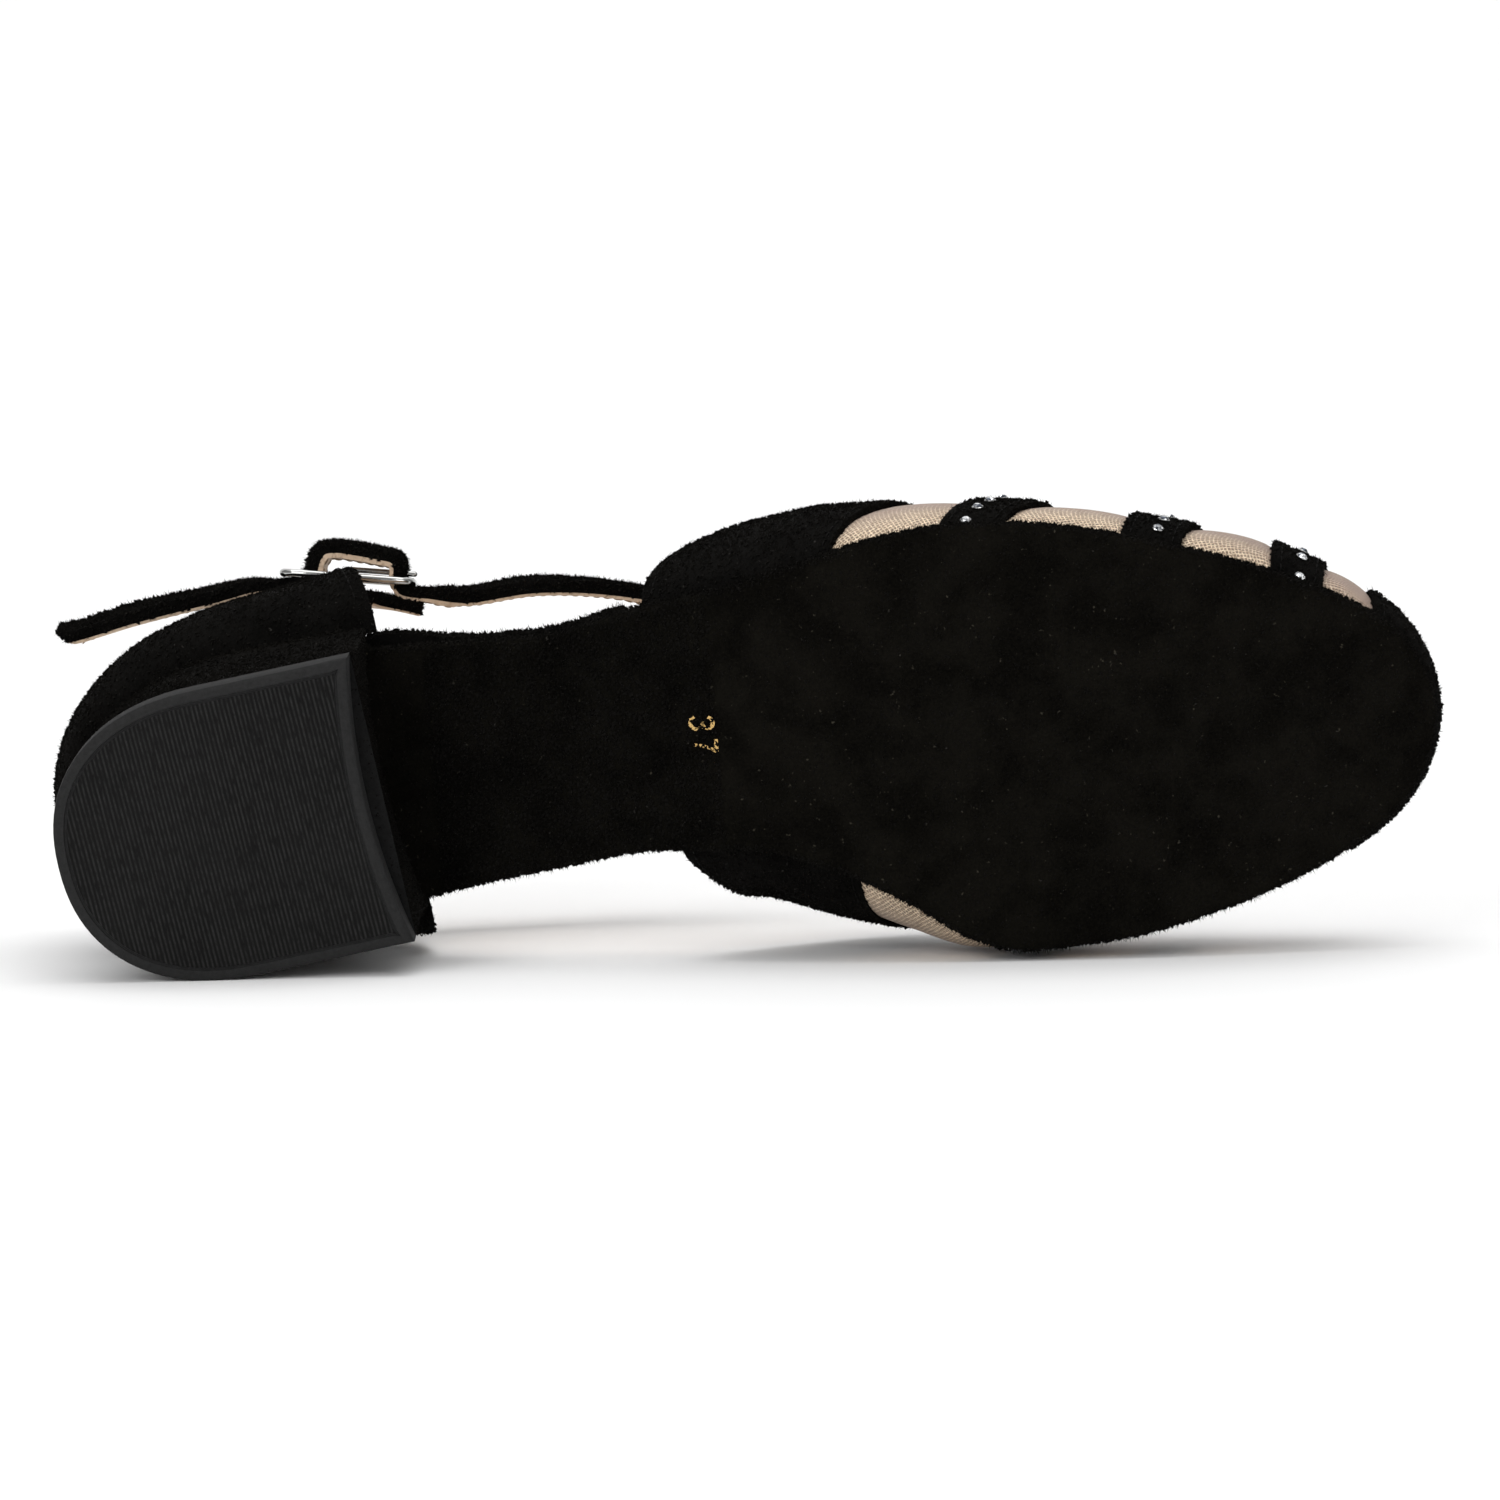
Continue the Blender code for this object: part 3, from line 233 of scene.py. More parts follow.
# Studio, in metres: each light's place, size, power and what it is aimed at
LIGHTS = {
    "overhead": ((0.0, 0.2, 3.0), 5.0, 54.0, (0.0, 0.2, 0.0)),
    "backdrop": ((0.0, 0.2, 2.2), 2.0, 22.0, (0.0, 1.8, 0.7)),
    "front_left": ((-0.8, -1.3, 0.7), 0.8, 10.5, (0.0, 0.0, 0.03)),
    "front_right": ((0.9, -1.3, 0.5), 0.8, 5.0, (0.0, 0.0, 0.03)),
}
SKY_STRENGTH = 0.30
FLOOR_FRONT, FLOOR_BACK, FLOOR_TOP, FLOOR_SIDE = -1.6, 1.2, 2.6, 3.0
FLOOR_ROUND = 0.6
CAMERA_ANGLES = (11.0, 1.0, 4.6)
CAMERA_TARGET = (124.0, -3.0, 10.0)
CAMERA_AWAY = 0.95
CAMERA_LENS, CAMERA_SENSOR = 130.0, 36.0

# Sections of the form: the same named shares as the solids have
PROFILE_ROWS = (
    (0.235, 1.000, 0.00),
    (0.270, 0.925, 0.00),
    (0.310, 0.810, 0.00),
    (0.390, 0.583, 0.00),
    (0.470, 0.353, 0.00),
    (0.550, 0.155, 0.00),
    (0.625, 0.035, 0.00),
    (0.670, 0.000, 0.00),
    (0.770, 0.000, 0.00),
    (0.830, 0.000, 0.11),
    (0.900, 0.000, 0.37),
    (0.950, 0.000, 0.64),
    (1.000, 0.000, 1.00),
)
OUTLINE_ROWS = (
    (0.200, -0.300, 0.363),
    (0.235, -0.300, 0.327),
    (0.280, -0.306, 0.285),
    (0.360, -0.320, 0.231),
    (0.440, -0.386, 0.190),
    (0.500, -0.424, 0.191),
    (0.560, -0.479, 0.241),
    (0.610, -0.521, 0.321),
    (0.660, -0.542, 0.423),
    (0.700, -0.537, 0.457),
    (0.760, -0.505, 0.447),
    (0.830, -0.440, 0.405),
    (0.900, -0.355, 0.333),
    (0.950, -0.268, 0.253),
    (0.980, -0.184, 0.171),
    (1.000, -0.005, -0.005),
)
SECTION_ROWS = (
    (0.420, 0.035, 1.030, 0.870, 0.560),
    (0.440, 0.039, 1.000, 0.866, 0.540),
    (0.500, 0.053, 0.900, 0.860, 0.398),
    (0.560, 0.066, 0.785, 0.886, 0.474),
    (0.610, 0.079, 0.700, 0.934, 0.630),
    (0.660, 0.092, 0.625, 0.962, 0.805),
    (0.700, 0.099, 0.575, 0.964, 0.878),
    (0.760, 0.092, 0.515, 0.955, 0.890),
    (0.830, 0.072, 0.458, 0.930, 0.890),
    (0.900, 0.046, 0.410, 0.890, 0.870),
    (0.950, 0.020, 0.368, 0.885, 0.830),
    (0.980, 0.006, 0.315, 0.860, 0.820),
    (1.000, -0.005, 0.200, 0.820, 0.820),
)
COUNTER_SECTIONS = (
    (0.00, 0.62, -0.26, 1.000),
    (0.20, 0.66, -0.26, 0.960),
    (0.40, 0.66, -0.20, 0.890),
    (0.60, 0.72, -0.08, 0.810),
    (0.80, 0.80, 0.13, 0.765),
    (1.00, 0.90, 0.34, 0.745),
)
INSTEP_ROUTE = (
    (0.262, 0.645, 0.910),
    (0.310, 0.615, 0.975),
    (0.377, 0.570, 1.030),
    (0.443, 0.420, 1.072),
    (0.488, 0.220, 1.105),
    (0.505, 0.000, 1.118),
    (0.492, -0.240, 1.105),
    (0.450, -0.450, 1.075),
    (0.402, -0.560, 1.044),
    (0.348, -0.613, 1.020),
)
BUCKLE_ROUTE = (
    (0.850, -0.088),
    (0.600, -0.090),
    (0.470, -0.090),
    (0.405, -0.076),
    (0.370, -0.030),
    (0.358, 0.030),
    (0.350, 0.105),
    (0.325, 0.143),
    (0.200, 0.165),
    (0.050, 0.182),
    (-0.090, 0.190),
    (-0.180, 0.170),
    (-0.220, 0.110),
    (-0.235, 0.035),
    (-0.262, -0.030),
    (-0.330, -0.082),
    (-0.470, -0.108),
    (-0.640, -0.125),
)
HOLE_STRETCH = (4, 6)
STRAP_SEWN = ((0.86, 0.72), (0.90, 0.76), (0.94, 0.80), (0.97, 0.84))
TAB_SEWN = ((0.13, 0.80), (0.10, 0.83), (0.07, 0.86), (0.04, 0.89))
TAB_ROUTE = ((0.16, -0.165, -1.2 * MM), (0.36, -0.178, -0.6 * MM), (0.53, -0.200))
HOOK_ROUTE = ((0.06, -0.102), (0.18, -0.100), (0.31, -0.100))
PRONG_ROUTE = ((0.25, 0.3), (0.5, 0.5), (0.8, 0.9))
TAIL_ROUTE = (
    (0.098, -0.695, 1.000),
    (0.040, -0.640, 1.000),
    (0.000, -0.585, 1.000),
    (-0.019, -0.566, 1.000),
)


def unit(vectors):
    """Vectors of length one."""
    return vectors / np.linalg.norm(vectors, axis=-1, keepdims=True)


def curve(places, values):
    """A smooth curve through the points that never swings beyond them."""
    xs, ys = np.array(places, float), np.array(values, float)
    steps = np.diff(xs)
    slopes = np.diff(ys) / steps
    tangents = np.zeros(len(xs))
    tangents[0], tangents[-1] = slopes[0], slopes[-1]
    for i in range(1, len(xs) - 1):
        before, after = slopes[i - 1], slopes[i]
        if before * after > 0:
            w1 = 2 * steps[i] + steps[i - 1]
            w2 = steps[i] + 2 * steps[i - 1]
            tangents[i] = (w1 + w2) / (w1 / before + w2 / after)

    def value(x):
        i = np.clip(np.searchsorted(xs, x) - 1, 0, len(steps) - 1)
        h = steps[i]
        t = (x - xs[i]) / h
        return (
            (2 * t**3 - 3 * t**2 + 1) * ys[i]
            + (t**3 - 2 * t**2 + t) * h * tangents[i]
            + (3 * t**2 - 2 * t**3) * ys[i + 1]
            + (t**3 - t**2) * h * tangents[i + 1]
        )

    return value


def angle_of(share):
    """The angle that stands for a station, which opens out the round ends of an outline."""
    return np.arccos(1 - 2 * np.clip(share, 0.0, 1.0))


def station_of(theta):
    """The station along the sole that an angle stands for."""
    return SOLE_LENGTH * (1 - np.cos(theta)) / 2


def column(rows, index):
    """One column of a table of sections as a smooth curve over the station's angle."""
    return curve([float(angle_of(row[0])) for row in rows], [row[index] for row in rows])


def plain_column(rows, index):
    """One column of a table as a smooth curve over its first column."""
    return curve([row[0] for row in rows], [row[index] for row in rows])


RISE, SPRING = plain_column(PROFILE_ROWS, 1), plain_column(PROFILE_ROWS, 2)
EDGES = {LATERAL: column(OUTLINE_ROWS, 1), MEDIAL: column(OUTLINE_ROWS, 2)}
RIDGE, CROWN = column(SECTION_ROWS, 1), column(SECTION_ROWS, 2)
TUCKS = {LATERAL: column(SECTION_ROWS, 3), MEDIAL: column(SECTION_ROWS, 4)}
SWELL, TOP_OUT, HEIGHTS = (plain_column(COUNTER_SECTIONS, k) for k in (1, 2, 3))
BREAST = PROFILE_ROWS[0][0] * SOLE_LENGTH


def smooth_step(x, start, end):
    """0 before the start, 1 after the end, and an even change between."""
    t = np.clip((x - start) / (end - start), 0.0, 1.0)
    return t * t * (3 - 2 * t)


def underside(x):
    """Height of the sole's underside."""
    share = np.clip(np.asarray(x, float) / SOLE_LENGTH, 0.0, 1.0)
    seat_end = PROFILE_ROWS[0][0]
    seat = HEEL_HEIGHT + (BREAST_HEIGHT - HEEL_HEIGHT) * share / seat_end
    front = np.maximum(share, seat_end)
    return np.where(share <= seat_end, seat, BREAST_HEIGHT * RISE(front) + TOE_SPRING * SPRING(front))


def sole_thickness(x):
    """The sole is thinned down under the heel."""
    blend = smooth_step(x, *(BREAST + share * SOLE_LENGTH for share in SEAT_TAPER))
    return SEAT_THICKNESS + (SOLE_THICKNESS - SEAT_THICKNESS) * blend


def foot_level(x):
    """Height at which the walls and the board stand."""
    return underside(x) + sole_thickness(x) + GAP


def from_heel_axis(u, v):
    """A place given along and across the heel's turned axis, in the shoe's own plan."""
    cos, sin = math.cos(HEEL_TURN), math.sin(HEEL_TURN)
    return np.array([HEEL_BACK[0] + u * cos + v * sin, HEEL_BACK[1] - u * sin + v * cos])


def d_outline(back, round_length, half_width, squareness, front, facets=24):
    """One side's outline along the heel axis, from the back to the front corner."""
    points = []
    for angle in np.linspace(0, math.pi / 2, facets + 1):
        u = back + round_length * (1 - max(math.cos(angle), 0.0) ** (2 / squareness))
        points.append((u, half_width * math.sin(angle) ** (2 / squareness)))
    for share in np.linspace(0, 1, 9)[1:]:
        points.append((back + round_length + share * (front - back - round_length), half_width))
    return points


def heel_loop(side_points, hollow):
    """A closed loop in plan: outer side from the front, round the back, inner side, then the breast."""
    loop = [from_heel_axis(u, LATERAL * v) for u, v in reversed(side_points)]
    loop += [from_heel_axis(u, MEDIAL * v) for u, v in side_points[1:]]
    front, half_width = side_points[-1]
    for share in np.linspace(1, -1, 17)[1:-1]:
        loop.append(from_heel_axis(front - hollow * (1 - share * share), half_width * share))
    return np.array(loop)


def dense_seat():
    """The seat's outline in fine steps, from the outer front corner round to the inner one."""
    start = SEAT_BACK_ROUND - SEAT_BACK_OUT
    angles = np.linspace(0, math.pi / 2, 60)
    side = [(start - SEAT_BACK_ROUND * math.cos(a), SEAT_WIDTH / 2 * math.sin(a)) for a in angles]
    side += [(start + (SEAT_LENGTH - start) * k / 12, SEAT_WIDTH / 2) for k in range(1, 13)]
    reach = (SEAT_LENGTH + COUNTER_REACH, SEAT_WIDTH / 2)
    outer = [from_heel_axis(u, LATERAL * v) for u, v in reversed(side + [reach])]
    inner = [from_heel_axis(u, MEDIAL * v) for u, v in side[1:]]
    return np.array(outer + inner)


SEAT_LINE = dense_seat()
SEAT_RUN = np.concatenate([[0.0], np.cumsum(np.linalg.norm(np.diff(SEAT_LINE, axis=0), axis=1))])
SEAT_ALONG = unit(np.gradient(SEAT_LINE, axis=0))
SEAT_OUTWARD = np.stack([-SEAT_ALONG[:, 1], SEAT_ALONG[:, 0]], axis=1)


def seat_edge(x, side, inset=0.0):
    """The seat's outline on one side at a station, moved inwards by the inset."""
    line = SEAT_LINE - SEAT_OUTWARD * inset
    back = int(np.argmin(line[:, 0]))
    part = line[: back + 1][::-1] if side == LATERAL else line[back:]
    return np.interp(x, part[:, 0], part[:, 1])


def sole_edge(x, side):
    """The outsole's outline: the seat's over the heel, then its own through waist and ball."""
    x = np.asarray(x, float)
    front = EDGES[side](angle_of(np.maximum(x / SOLE_LENGTH, OUTLINE_ROWS[0][0]))) * BALL_WIDTH
    seat = seat_edge(x, side, SEAT_INSET)
    blend = smooth_step(x, *(BREAST + distance for distance in EDGE_BLEND))
    return seat + (front - seat) * blend


def edge_point(theta, side, inset=0.0):
    """Points of the sole's outline in plan, moved inwards by the inset."""
    step = 0.004
    theta = np.asarray(theta, float)

    def at(angle):
        x = station_of(angle)
        return np.stack([x, sole_edge(x, side)], axis=-1)

    here = at(theta)
    run = unit(at(np.minimum(theta + step, math.pi)) - at(theta - step))
    outward = np.stack([-side * run[..., 1], side * run[..., 0]], axis=-1)
    at_tip = (theta > math.pi - 1e-6)[..., None]
    return here - inset * np.where(at_tip, np.array([1.0, 0.0]), outward)


def vamp_point(theta, t):
    """Outer surface of the forepart: theta runs to the toe, t from the outer to the inner feather."""
    theta, t = np.broadcast_arrays(np.minimum(theta, math.pi), t)
    outer = t < 0.5
    side = np.where(outer, LATERAL, MEDIAL)
    climb = np.where(outer, 2 * t, 2 * (1 - t))
    feet = {s: edge_point(theta, s, FEATHER_INSET) for s in (LATERAL, MEDIAL)}
    foot = np.where(outer[..., None], feet[LATERAL], feet[MEDIAL])
    other = np.where(outer[..., None], feet[MEDIAL], feet[LATERAL])
    ridge = RIDGE(theta) * BALL_WIDTH
    foot_z = foot_level(foot[..., 0])
    rise = CROWN(theta) * INSTEP_HEIGHT - foot_z
    n = SECTION_SQUARENESS
    tuck = np.where(outer, TUCKS[LATERAL](theta), TUCKS[MEDIAL](theta))
    drop = (1 - tuck**n) ** (1 / n)
    half_height = rise / (1 + drop)
    half_width = np.abs(foot[..., 1] - ridge) / tuck
    start = np.arctan2(drop, tuck)
    angle = -start + climb * (math.pi / 2 + start)
    cos, sin = np.cos(angle), np.sin(angle)
    reach = (np.abs(cos) ** n + np.abs(sin) ** n) ** (-1 / n)
    y = ridge + side * half_width * reach * cos
    z = foot_z + half_height * (drop + reach * sin)
    near_toe = np.maximum(0.0, -np.cos(theta)) ** 6
    forward = TOE_BULGE * near_toe * np.sin(math.pi * np.clip((z - foot_z) / rise, 0.0, 1.0))
    x = foot[..., 0] + (other[..., 0] - foot[..., 0]) * climb / 2 + forward
    return np.stack([x, y, z], axis=-1)


def vamp_normal(theta, t):
    """Outward direction of the forepart's surface."""
    around = np.minimum(theta, math.pi - 0.03)
    along = vamp_point(around + 0.012, t) - vamp_point(around - 0.012, t)
    low, high = np.maximum(t - 0.008, 0.0), np.minimum(t + 0.008, 1.0)
    return unit(np.cross(along, vamp_point(around, high) - vamp_point(around, low)))


def vamp_offset(theta, t, lift):
    """Points a given distance outside the forepart's surface, never below the feather line."""
    theta, t = np.broadcast_arrays(np.minimum(theta, math.pi), t)
    normal = vamp_normal(theta, t)
    at_tip = (theta > math.pi - 1e-6)[..., None]
    both = (normal + vamp_normal(theta, 1 - t)) * np.array([1.0, 0.0, 1.0])
    normal = np.where(at_tip, unit(both), normal)
    point = vamp_point(theta, t) + np.asarray(lift)[..., None] * normal
    point[..., 2] = np.maximum(point[..., 2], foot_level(point[..., 0]))
    return point


def edge_line(foot, arch, sharpness, shift=0.0):
    """An edge over the forepart, as its angle at each place from the outer to the inner feather."""
    outer, inner = foot

    def angle(t):
        power = sharpness[0] + (sharpness[1] - sharpness[0]) * t
        base = outer + (inner - outer) * t + shift / SOLE_LENGTH
        return angle_of(base + arch * np.maximum(np.sin(math.pi * np.clip(t, 0, 1)), 0.0) ** power)

    return angle


THROAT = edge_line(THROAT_FOOT, THROAT_ARCH, (2.0, 2.0))
WING_FRONT = edge_line(WING_FRONT_FOOT, WING_FRONT_ARCH, (1.2, 2.2))
TOE_CAP_REAR = edge_line(TOE_CAP_FOOT, TOE_CAP_ARCH, (1.0, 1.0))
BANDS = [
    (edge_line(foot, arch, (1.0, 1.0)), edge_line(foot, arch, (1.0, 1.0), width))
    for foot, width, arch in zip(STRAP_FOOT, STRAP_WIDTH, STRAP_ARCH)
]


def toe_tip(t):
    """The front end of what runs right to the toe."""
    return np.full_like(np.asarray(t, float), math.pi)


def forepart_grid(rear, front, rows, lift):
    """A grid over the forepart between two of its edges. The lift takes both shares of the grid."""
    share = np.linspace(0, 1, rows + 1)[:, None]
    t = np.linspace(0, 1, FOREPART_COLUMNS + 1)[None, :]
    theta = rear(t) + (front(t) - rear(t)) * share
    height = lift(share, t) if callable(lift) else lift
    return vamp_offset(theta, np.broadcast_to(t, theta.shape), np.broadcast_to(height, theta.shape))


def counter_point(share, h, lift=0.0):
    """The counter's outer surface: share round the heel, h from its foot to its top edge."""
    share, h = np.broadcast_arrays(np.asarray(share, float), np.asarray(h, float))
    length = SEAT_RUN[-1]

    def at(s):
        return np.stack([np.interp(s * length, SEAT_RUN, SEAT_LINE[:, k]) for k in (0, 1)], axis=-1)

    run = unit(at(np.minimum(share + 0.01, 1.0)) - at(np.maximum(share - 0.01, 0.0)))
    foot = at(share)
    outward = np.stack([-run[..., 1], run[..., 0]], axis=-1)
    from_back = np.abs(2 * share - 1)
    height = HEIGHTS(from_back) * COUNTER_HEIGHT
    swell = SWELL(from_back) * np.sin(math.pi * h**SWELL_LEVEL) + TOP_OUT(from_back) * h**2
    lean = np.where(share < 0.5, *COUNTER_LEAN)
    setback = lean * h * smooth_step(from_back, 0.35, 1.0)
    corner = np.clip(1 - (1 - h) * height / COUNTER_CORNER, 0.0, 1.0)
    rounding = COUNTER_CORNER * (1 - np.sqrt(1 - corner**2))
    setback = setback + rounding * smooth_step(from_back, 0.75, 1.0)
    plan = foot + outward * (COUNTER_SWELL * swell + lift)[..., None]
    z = foot_level(foot[..., 0]) + h * height
    return np.stack([plan[..., 0] - setback, plan[..., 1], z], axis=-1)


def through(points, steps):
    """A smooth path through the points, with a number of steps for each stretch."""
    points = [np.array(p, float) for p in points]
    ends = [2 * points[0] - points[1]] + points + [2 * points[-1] - points[-2]]
    path = []
    for i, count in enumerate(steps):
        a, b, c, d = ends[i : i + 4]
        ab, bc, cd = (np.linalg.norm(q - p) ** 0.5 for p, q in ((a, b), (b, c), (c, d)))
        m1 = bc * ((b - a) / ab - (c - a) / (ab + bc) + (c - b) / bc)
        m2 = bc * ((c - b) / bc - (d - b) / (bc + cd) + (d - c) / cd)
        for k in range(count):
            t = k / count
            path.append(
                (2 * t**3 - 3 * t**2 + 1) * b + (t**3 - 2 * t**2 + t) * m1
                + (3 * t**2 - 2 * t**3) * c + (t**3 - t**2) * m2
            )
    path.append(points[-1])
    return np.array(path)


def buckle_axes():
    """Directions along the buckle to the toe, across it upwards, and out of its plane."""
    along = np.array([math.cos(BUCKLE_YAW), math.sin(BUCKLE_YAW), 0.0])
    up = np.array([0.0, BUCKLE_LEAN, 1.0])
    up = unit(up - along * np.dot(up, along))
    return along, up, np.cross(along, up)


def at_buckle(along_share, out_share, up_distance=0.0):
    """A place by the buckle, in shares of its length along it and out of its plane."""
    along, up, out = buckle_axes()
    place = np.array(BUCKLE_CENTRE) + BUCKLE_LENGTH * (along_share * along + out_share * out)
    return place + up_distance * up


def on_route(row):
    """A point of the free strap from its row of shares."""
    return np.array([row[0] * SOLE_LENGTH, row[1] * BALL_WIDTH / 2, row[2] * INSTEP_HEIGHT])


def strap_rise(point):
    """Direction of the strap's width: upright at the sides, and back along the instep in front."""
    front = smooth_step(point[0] / SOLE_LENGTH, *STRAP_TURN)
    inward = -point[1] / (BALL_WIDTH / 2)
    away = abs(point[0] - BUCKLE_CENTRE[0])
    at_frame = 1 - smooth_step(away, BUCKLE_LENGTH * 0.5, BUCKLE_LENGTH)
    lean = STRAP_LEAN + (BUCKLE_LEAN - STRAP_LEAN) * at_frame * min(max(inward * 1.5, 0.0), 1.0)
    return np.array([-STRAP_BACK * front, lean if point[1] < 0 else -STRAP_LEAN, 1.0])


def sewn_inside(places, thickness):
    """Points and width directions of a strap end that lies against the counter's inner face."""
    lift = -COUNTER_WALL - 3 * GAP - thickness / 2
    points = [counter_point(share, h, lift) for share, h in places]
    rises = [unit(counter_point(share, h + 0.08, lift) - counter_point(share, h - 0.08, lift))
             for share, h in places]
    return points, rises


def width_directions(path, rises, known):
    """The width's direction along a path: as the sewn end's, then turning into the free strap's."""
    directions = []
    for i, point in enumerate(path):
        k = i / known
        if k < len(rises) - 1:
            low = int(k)
            directions.append(rises[low] + (rises[low + 1] - rises[low]) * (k - low))
        else:
            blend = smooth_step(k, len(rises) - 1, len(rises) + 1)
            directions.append(rises[-1] * (1 - blend) + unit(strap_rise(point)) * blend)
    return directions


# How the shoe lies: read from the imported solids
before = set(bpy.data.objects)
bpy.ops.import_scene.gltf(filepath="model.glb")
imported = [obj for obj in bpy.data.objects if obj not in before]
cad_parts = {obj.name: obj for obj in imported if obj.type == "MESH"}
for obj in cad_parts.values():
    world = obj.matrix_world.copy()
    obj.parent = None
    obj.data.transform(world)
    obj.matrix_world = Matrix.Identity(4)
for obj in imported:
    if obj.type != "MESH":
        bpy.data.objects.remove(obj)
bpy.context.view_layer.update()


def corners_of(node_name):
    """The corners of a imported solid."""
    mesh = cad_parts[node_name].data
    points = np.empty(len(mesh.vertices) * 3)
    mesh.vertices.foreach_get("co", points)
    return points.reshape(-1, 3)


def how_it_lies():
    """The turn and shift that lay the standing shoe down, from its heel's ground face and its toe."""
    faces = {}
    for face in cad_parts["top_piece"].data.polygons:
        key = tuple(round(c, 3) for c in face.normal)
        area, total = faces.get(key, (0.0, Vector((0, 0, 0))))
        faces[key] = (area + face.area, total + face.normal * face.area)
    ground = max((f for f in faces.values() if f[1].y < 0), key=lambda f: f[0])[1].normalized()
    up = -np.array(ground)
    level = math.copysign(math.hypot(up[0], up[2]), up[2])
    ahead = np.array([up[2] / level, 0.0, -up[0] / level])
    turn = np.stack([ahead, np.cross(up, ahead), up], axis=1)
    sole = corners_of("outsole") @ turn
    tip = corners_of("top_piece") @ turn
    half_width = HEEL_WIDTH / 2
    low = d_outline(0.0, HEEL_BACK_ROUND, half_width, HEEL_SQUARENESS, HEEL_LENGTH, 9)
    low = heel_loop(low, BREAST_HOLLOW)
    middle = (low[:, 1].max() + low[:, 1].min()) / 2
    own = np.array([
        SOLE_LENGTH - SOLE_END_FLAT - sole[:, 0].max(),
        middle - (tip[:, 1].max() + tip[:, 1].min()) / 2,
        -tip[:, 2].min(),
    ])
    return turn, -turn @ own


TURN, SHIFT = how_it_lies()


def lay(points):
    """Standing points, in the frame of the shoe as it lies."""
    return np.asarray(points, float) @ TURN.T + SHIFT


def lay_direction(vectors):
    """Standing directions, in the frame of the shoe as it lies."""
    return np.asarray(vectors, float) @ TURN.T


# Building meshes


def in_scene(name, data):
    """An object of the data, linked into the scene."""
    made = bpy.data.objects.new(name, data)
    bpy.context.scene.collection.objects.link(made)
    return made


def plain_mesh(name, data):
    """A mesh of a bmesh, which is then freed."""
    mesh = bpy.data.meshes.new(name)
    data.to_mesh(mesh)
    data.free()
    return mesh


def finish_mesh(name, data, finishes, sharp=40):
    """An object of the given bmesh, laid down, with its faces turned outwards."""
    bmesh.ops.remove_doubles(data, verts=data.verts, dist=0.001 * MM)
    bmesh.ops.dissolve_degenerate(data, edges=data.edges, dist=0.0005 * MM)
    bmesh.ops.recalc_face_normals(data, faces=data.faces)
    for vertex in data.verts:
        vertex.co = Vector(lay(np.array(vertex.co)))
    mesh = plain_mesh(name, data)
    for finish in finishes:
        mesh.materials.append(finish)
    mesh.shade_smooth()
    mesh.set_sharp_from_angle(angle=math.radians(sharp))
    return in_scene(name, mesh)


def surface_run(grid):
    """Distances along and across a grid, in metres, from its middle column and first row."""
    across = np.linalg.norm(np.diff(grid, axis=1), axis=2)
    along = np.linalg.norm(np.diff(grid, axis=0), axis=2)
    u = np.concatenate([np.zeros((len(grid), 1)), np.cumsum(across, axis=1)], axis=1)
    u -= u[:, [grid.shape[1] // 2]]
    v = np.concatenate([np.zeros((1, grid.shape[1])), np.cumsum(along, axis=0)], axis=0)
    return u, v


def wall(name, layers, finishes, closed_end=False, gaps=(), round_edge=0.0, sharp=40,
         turned_in=(0, 0)):
    """A closed wall through its layers, from the outer face to the inner one.

    The finishes are those of the outer face, of each layer's rim in turn, and of the inner face.
    The outer finish may be turned in over some rows from the start and columns from both sides.
    """
    data = bmesh.new()
    uv = data.loops.layers.uv.new("UVMap")
    rows, columns = layers[0].shape[0] - 1, layers[0].shape[1] - 1
    sheets = [[[data.verts.new(p) for p in line] for line in grid] for grid in layers]
    runs = [surface_run(layers[0]), surface_run(layers[-1])]
    slots = {finish: k for k, finish in enumerate(dict.fromkeys(finishes))}
    cells = {(i, j) for i in range(rows) for j in range(columns)} - set(gaps)
    rims = []

    def add(corners, finish, run):
        face = data.faces.new([sheets[layer][a][b] for layer, a, b in corners])
        face.material_index = slots[finish]
        for loop, (_, a, b) in zip(face.loops, corners):
            loop[uv].uv = (run[0][a, b] * 1000, run[1][a, b] * 1000)
        return face

    last = len(layers) - 1
    for i, j in sorted(cells):
        corners = [(i, j), (i, j + 1), (i + 1, j + 1), (i + 1, j)]
        beyond = [(i - 1, j), (i, j + 1), (i + 1, j), (i, j - 1)]
        add([(0, a, b) for a, b in corners], finishes[0], runs[0])
        folded = i < turned_in[0] or min(j, columns - 1 - j) < turned_in[1]
        add([(last, a, b) for a, b in reversed(corners)], finishes[0 if folded else -1], runs[1])
        for k in range(4):
            p, q = corners[k], corners[(k + 1) % 4]
            if beyond[k] in cells or (closed_end and p[0] == rows and q[0] == rows):
                continue
            for layer in range(last):
                rim = [(layer, *q), (layer, *p), (layer + 1, *p), (layer + 1, *q)]
                add(rim, finishes[layer + 1], runs[0])
            rims.append((sheets[0][p[0]][p[1]], sheets[0][q[0]][q[1]]))
            rims.append((sheets[last][p[0]][p[1]], sheets[last][q[0]][q[1]]))
    if round_edge:
        edges = [e for e in (data.edges.get(pair) for pair in rims) if e]
        bmesh.ops.bevel(data, geom=edges, offset=round_edge, segments=3, profile=0.6,
                        affect="EDGES", clamp_overlap=True, material=-1)
    return finish_mesh(name, data, list(slots), sharp)


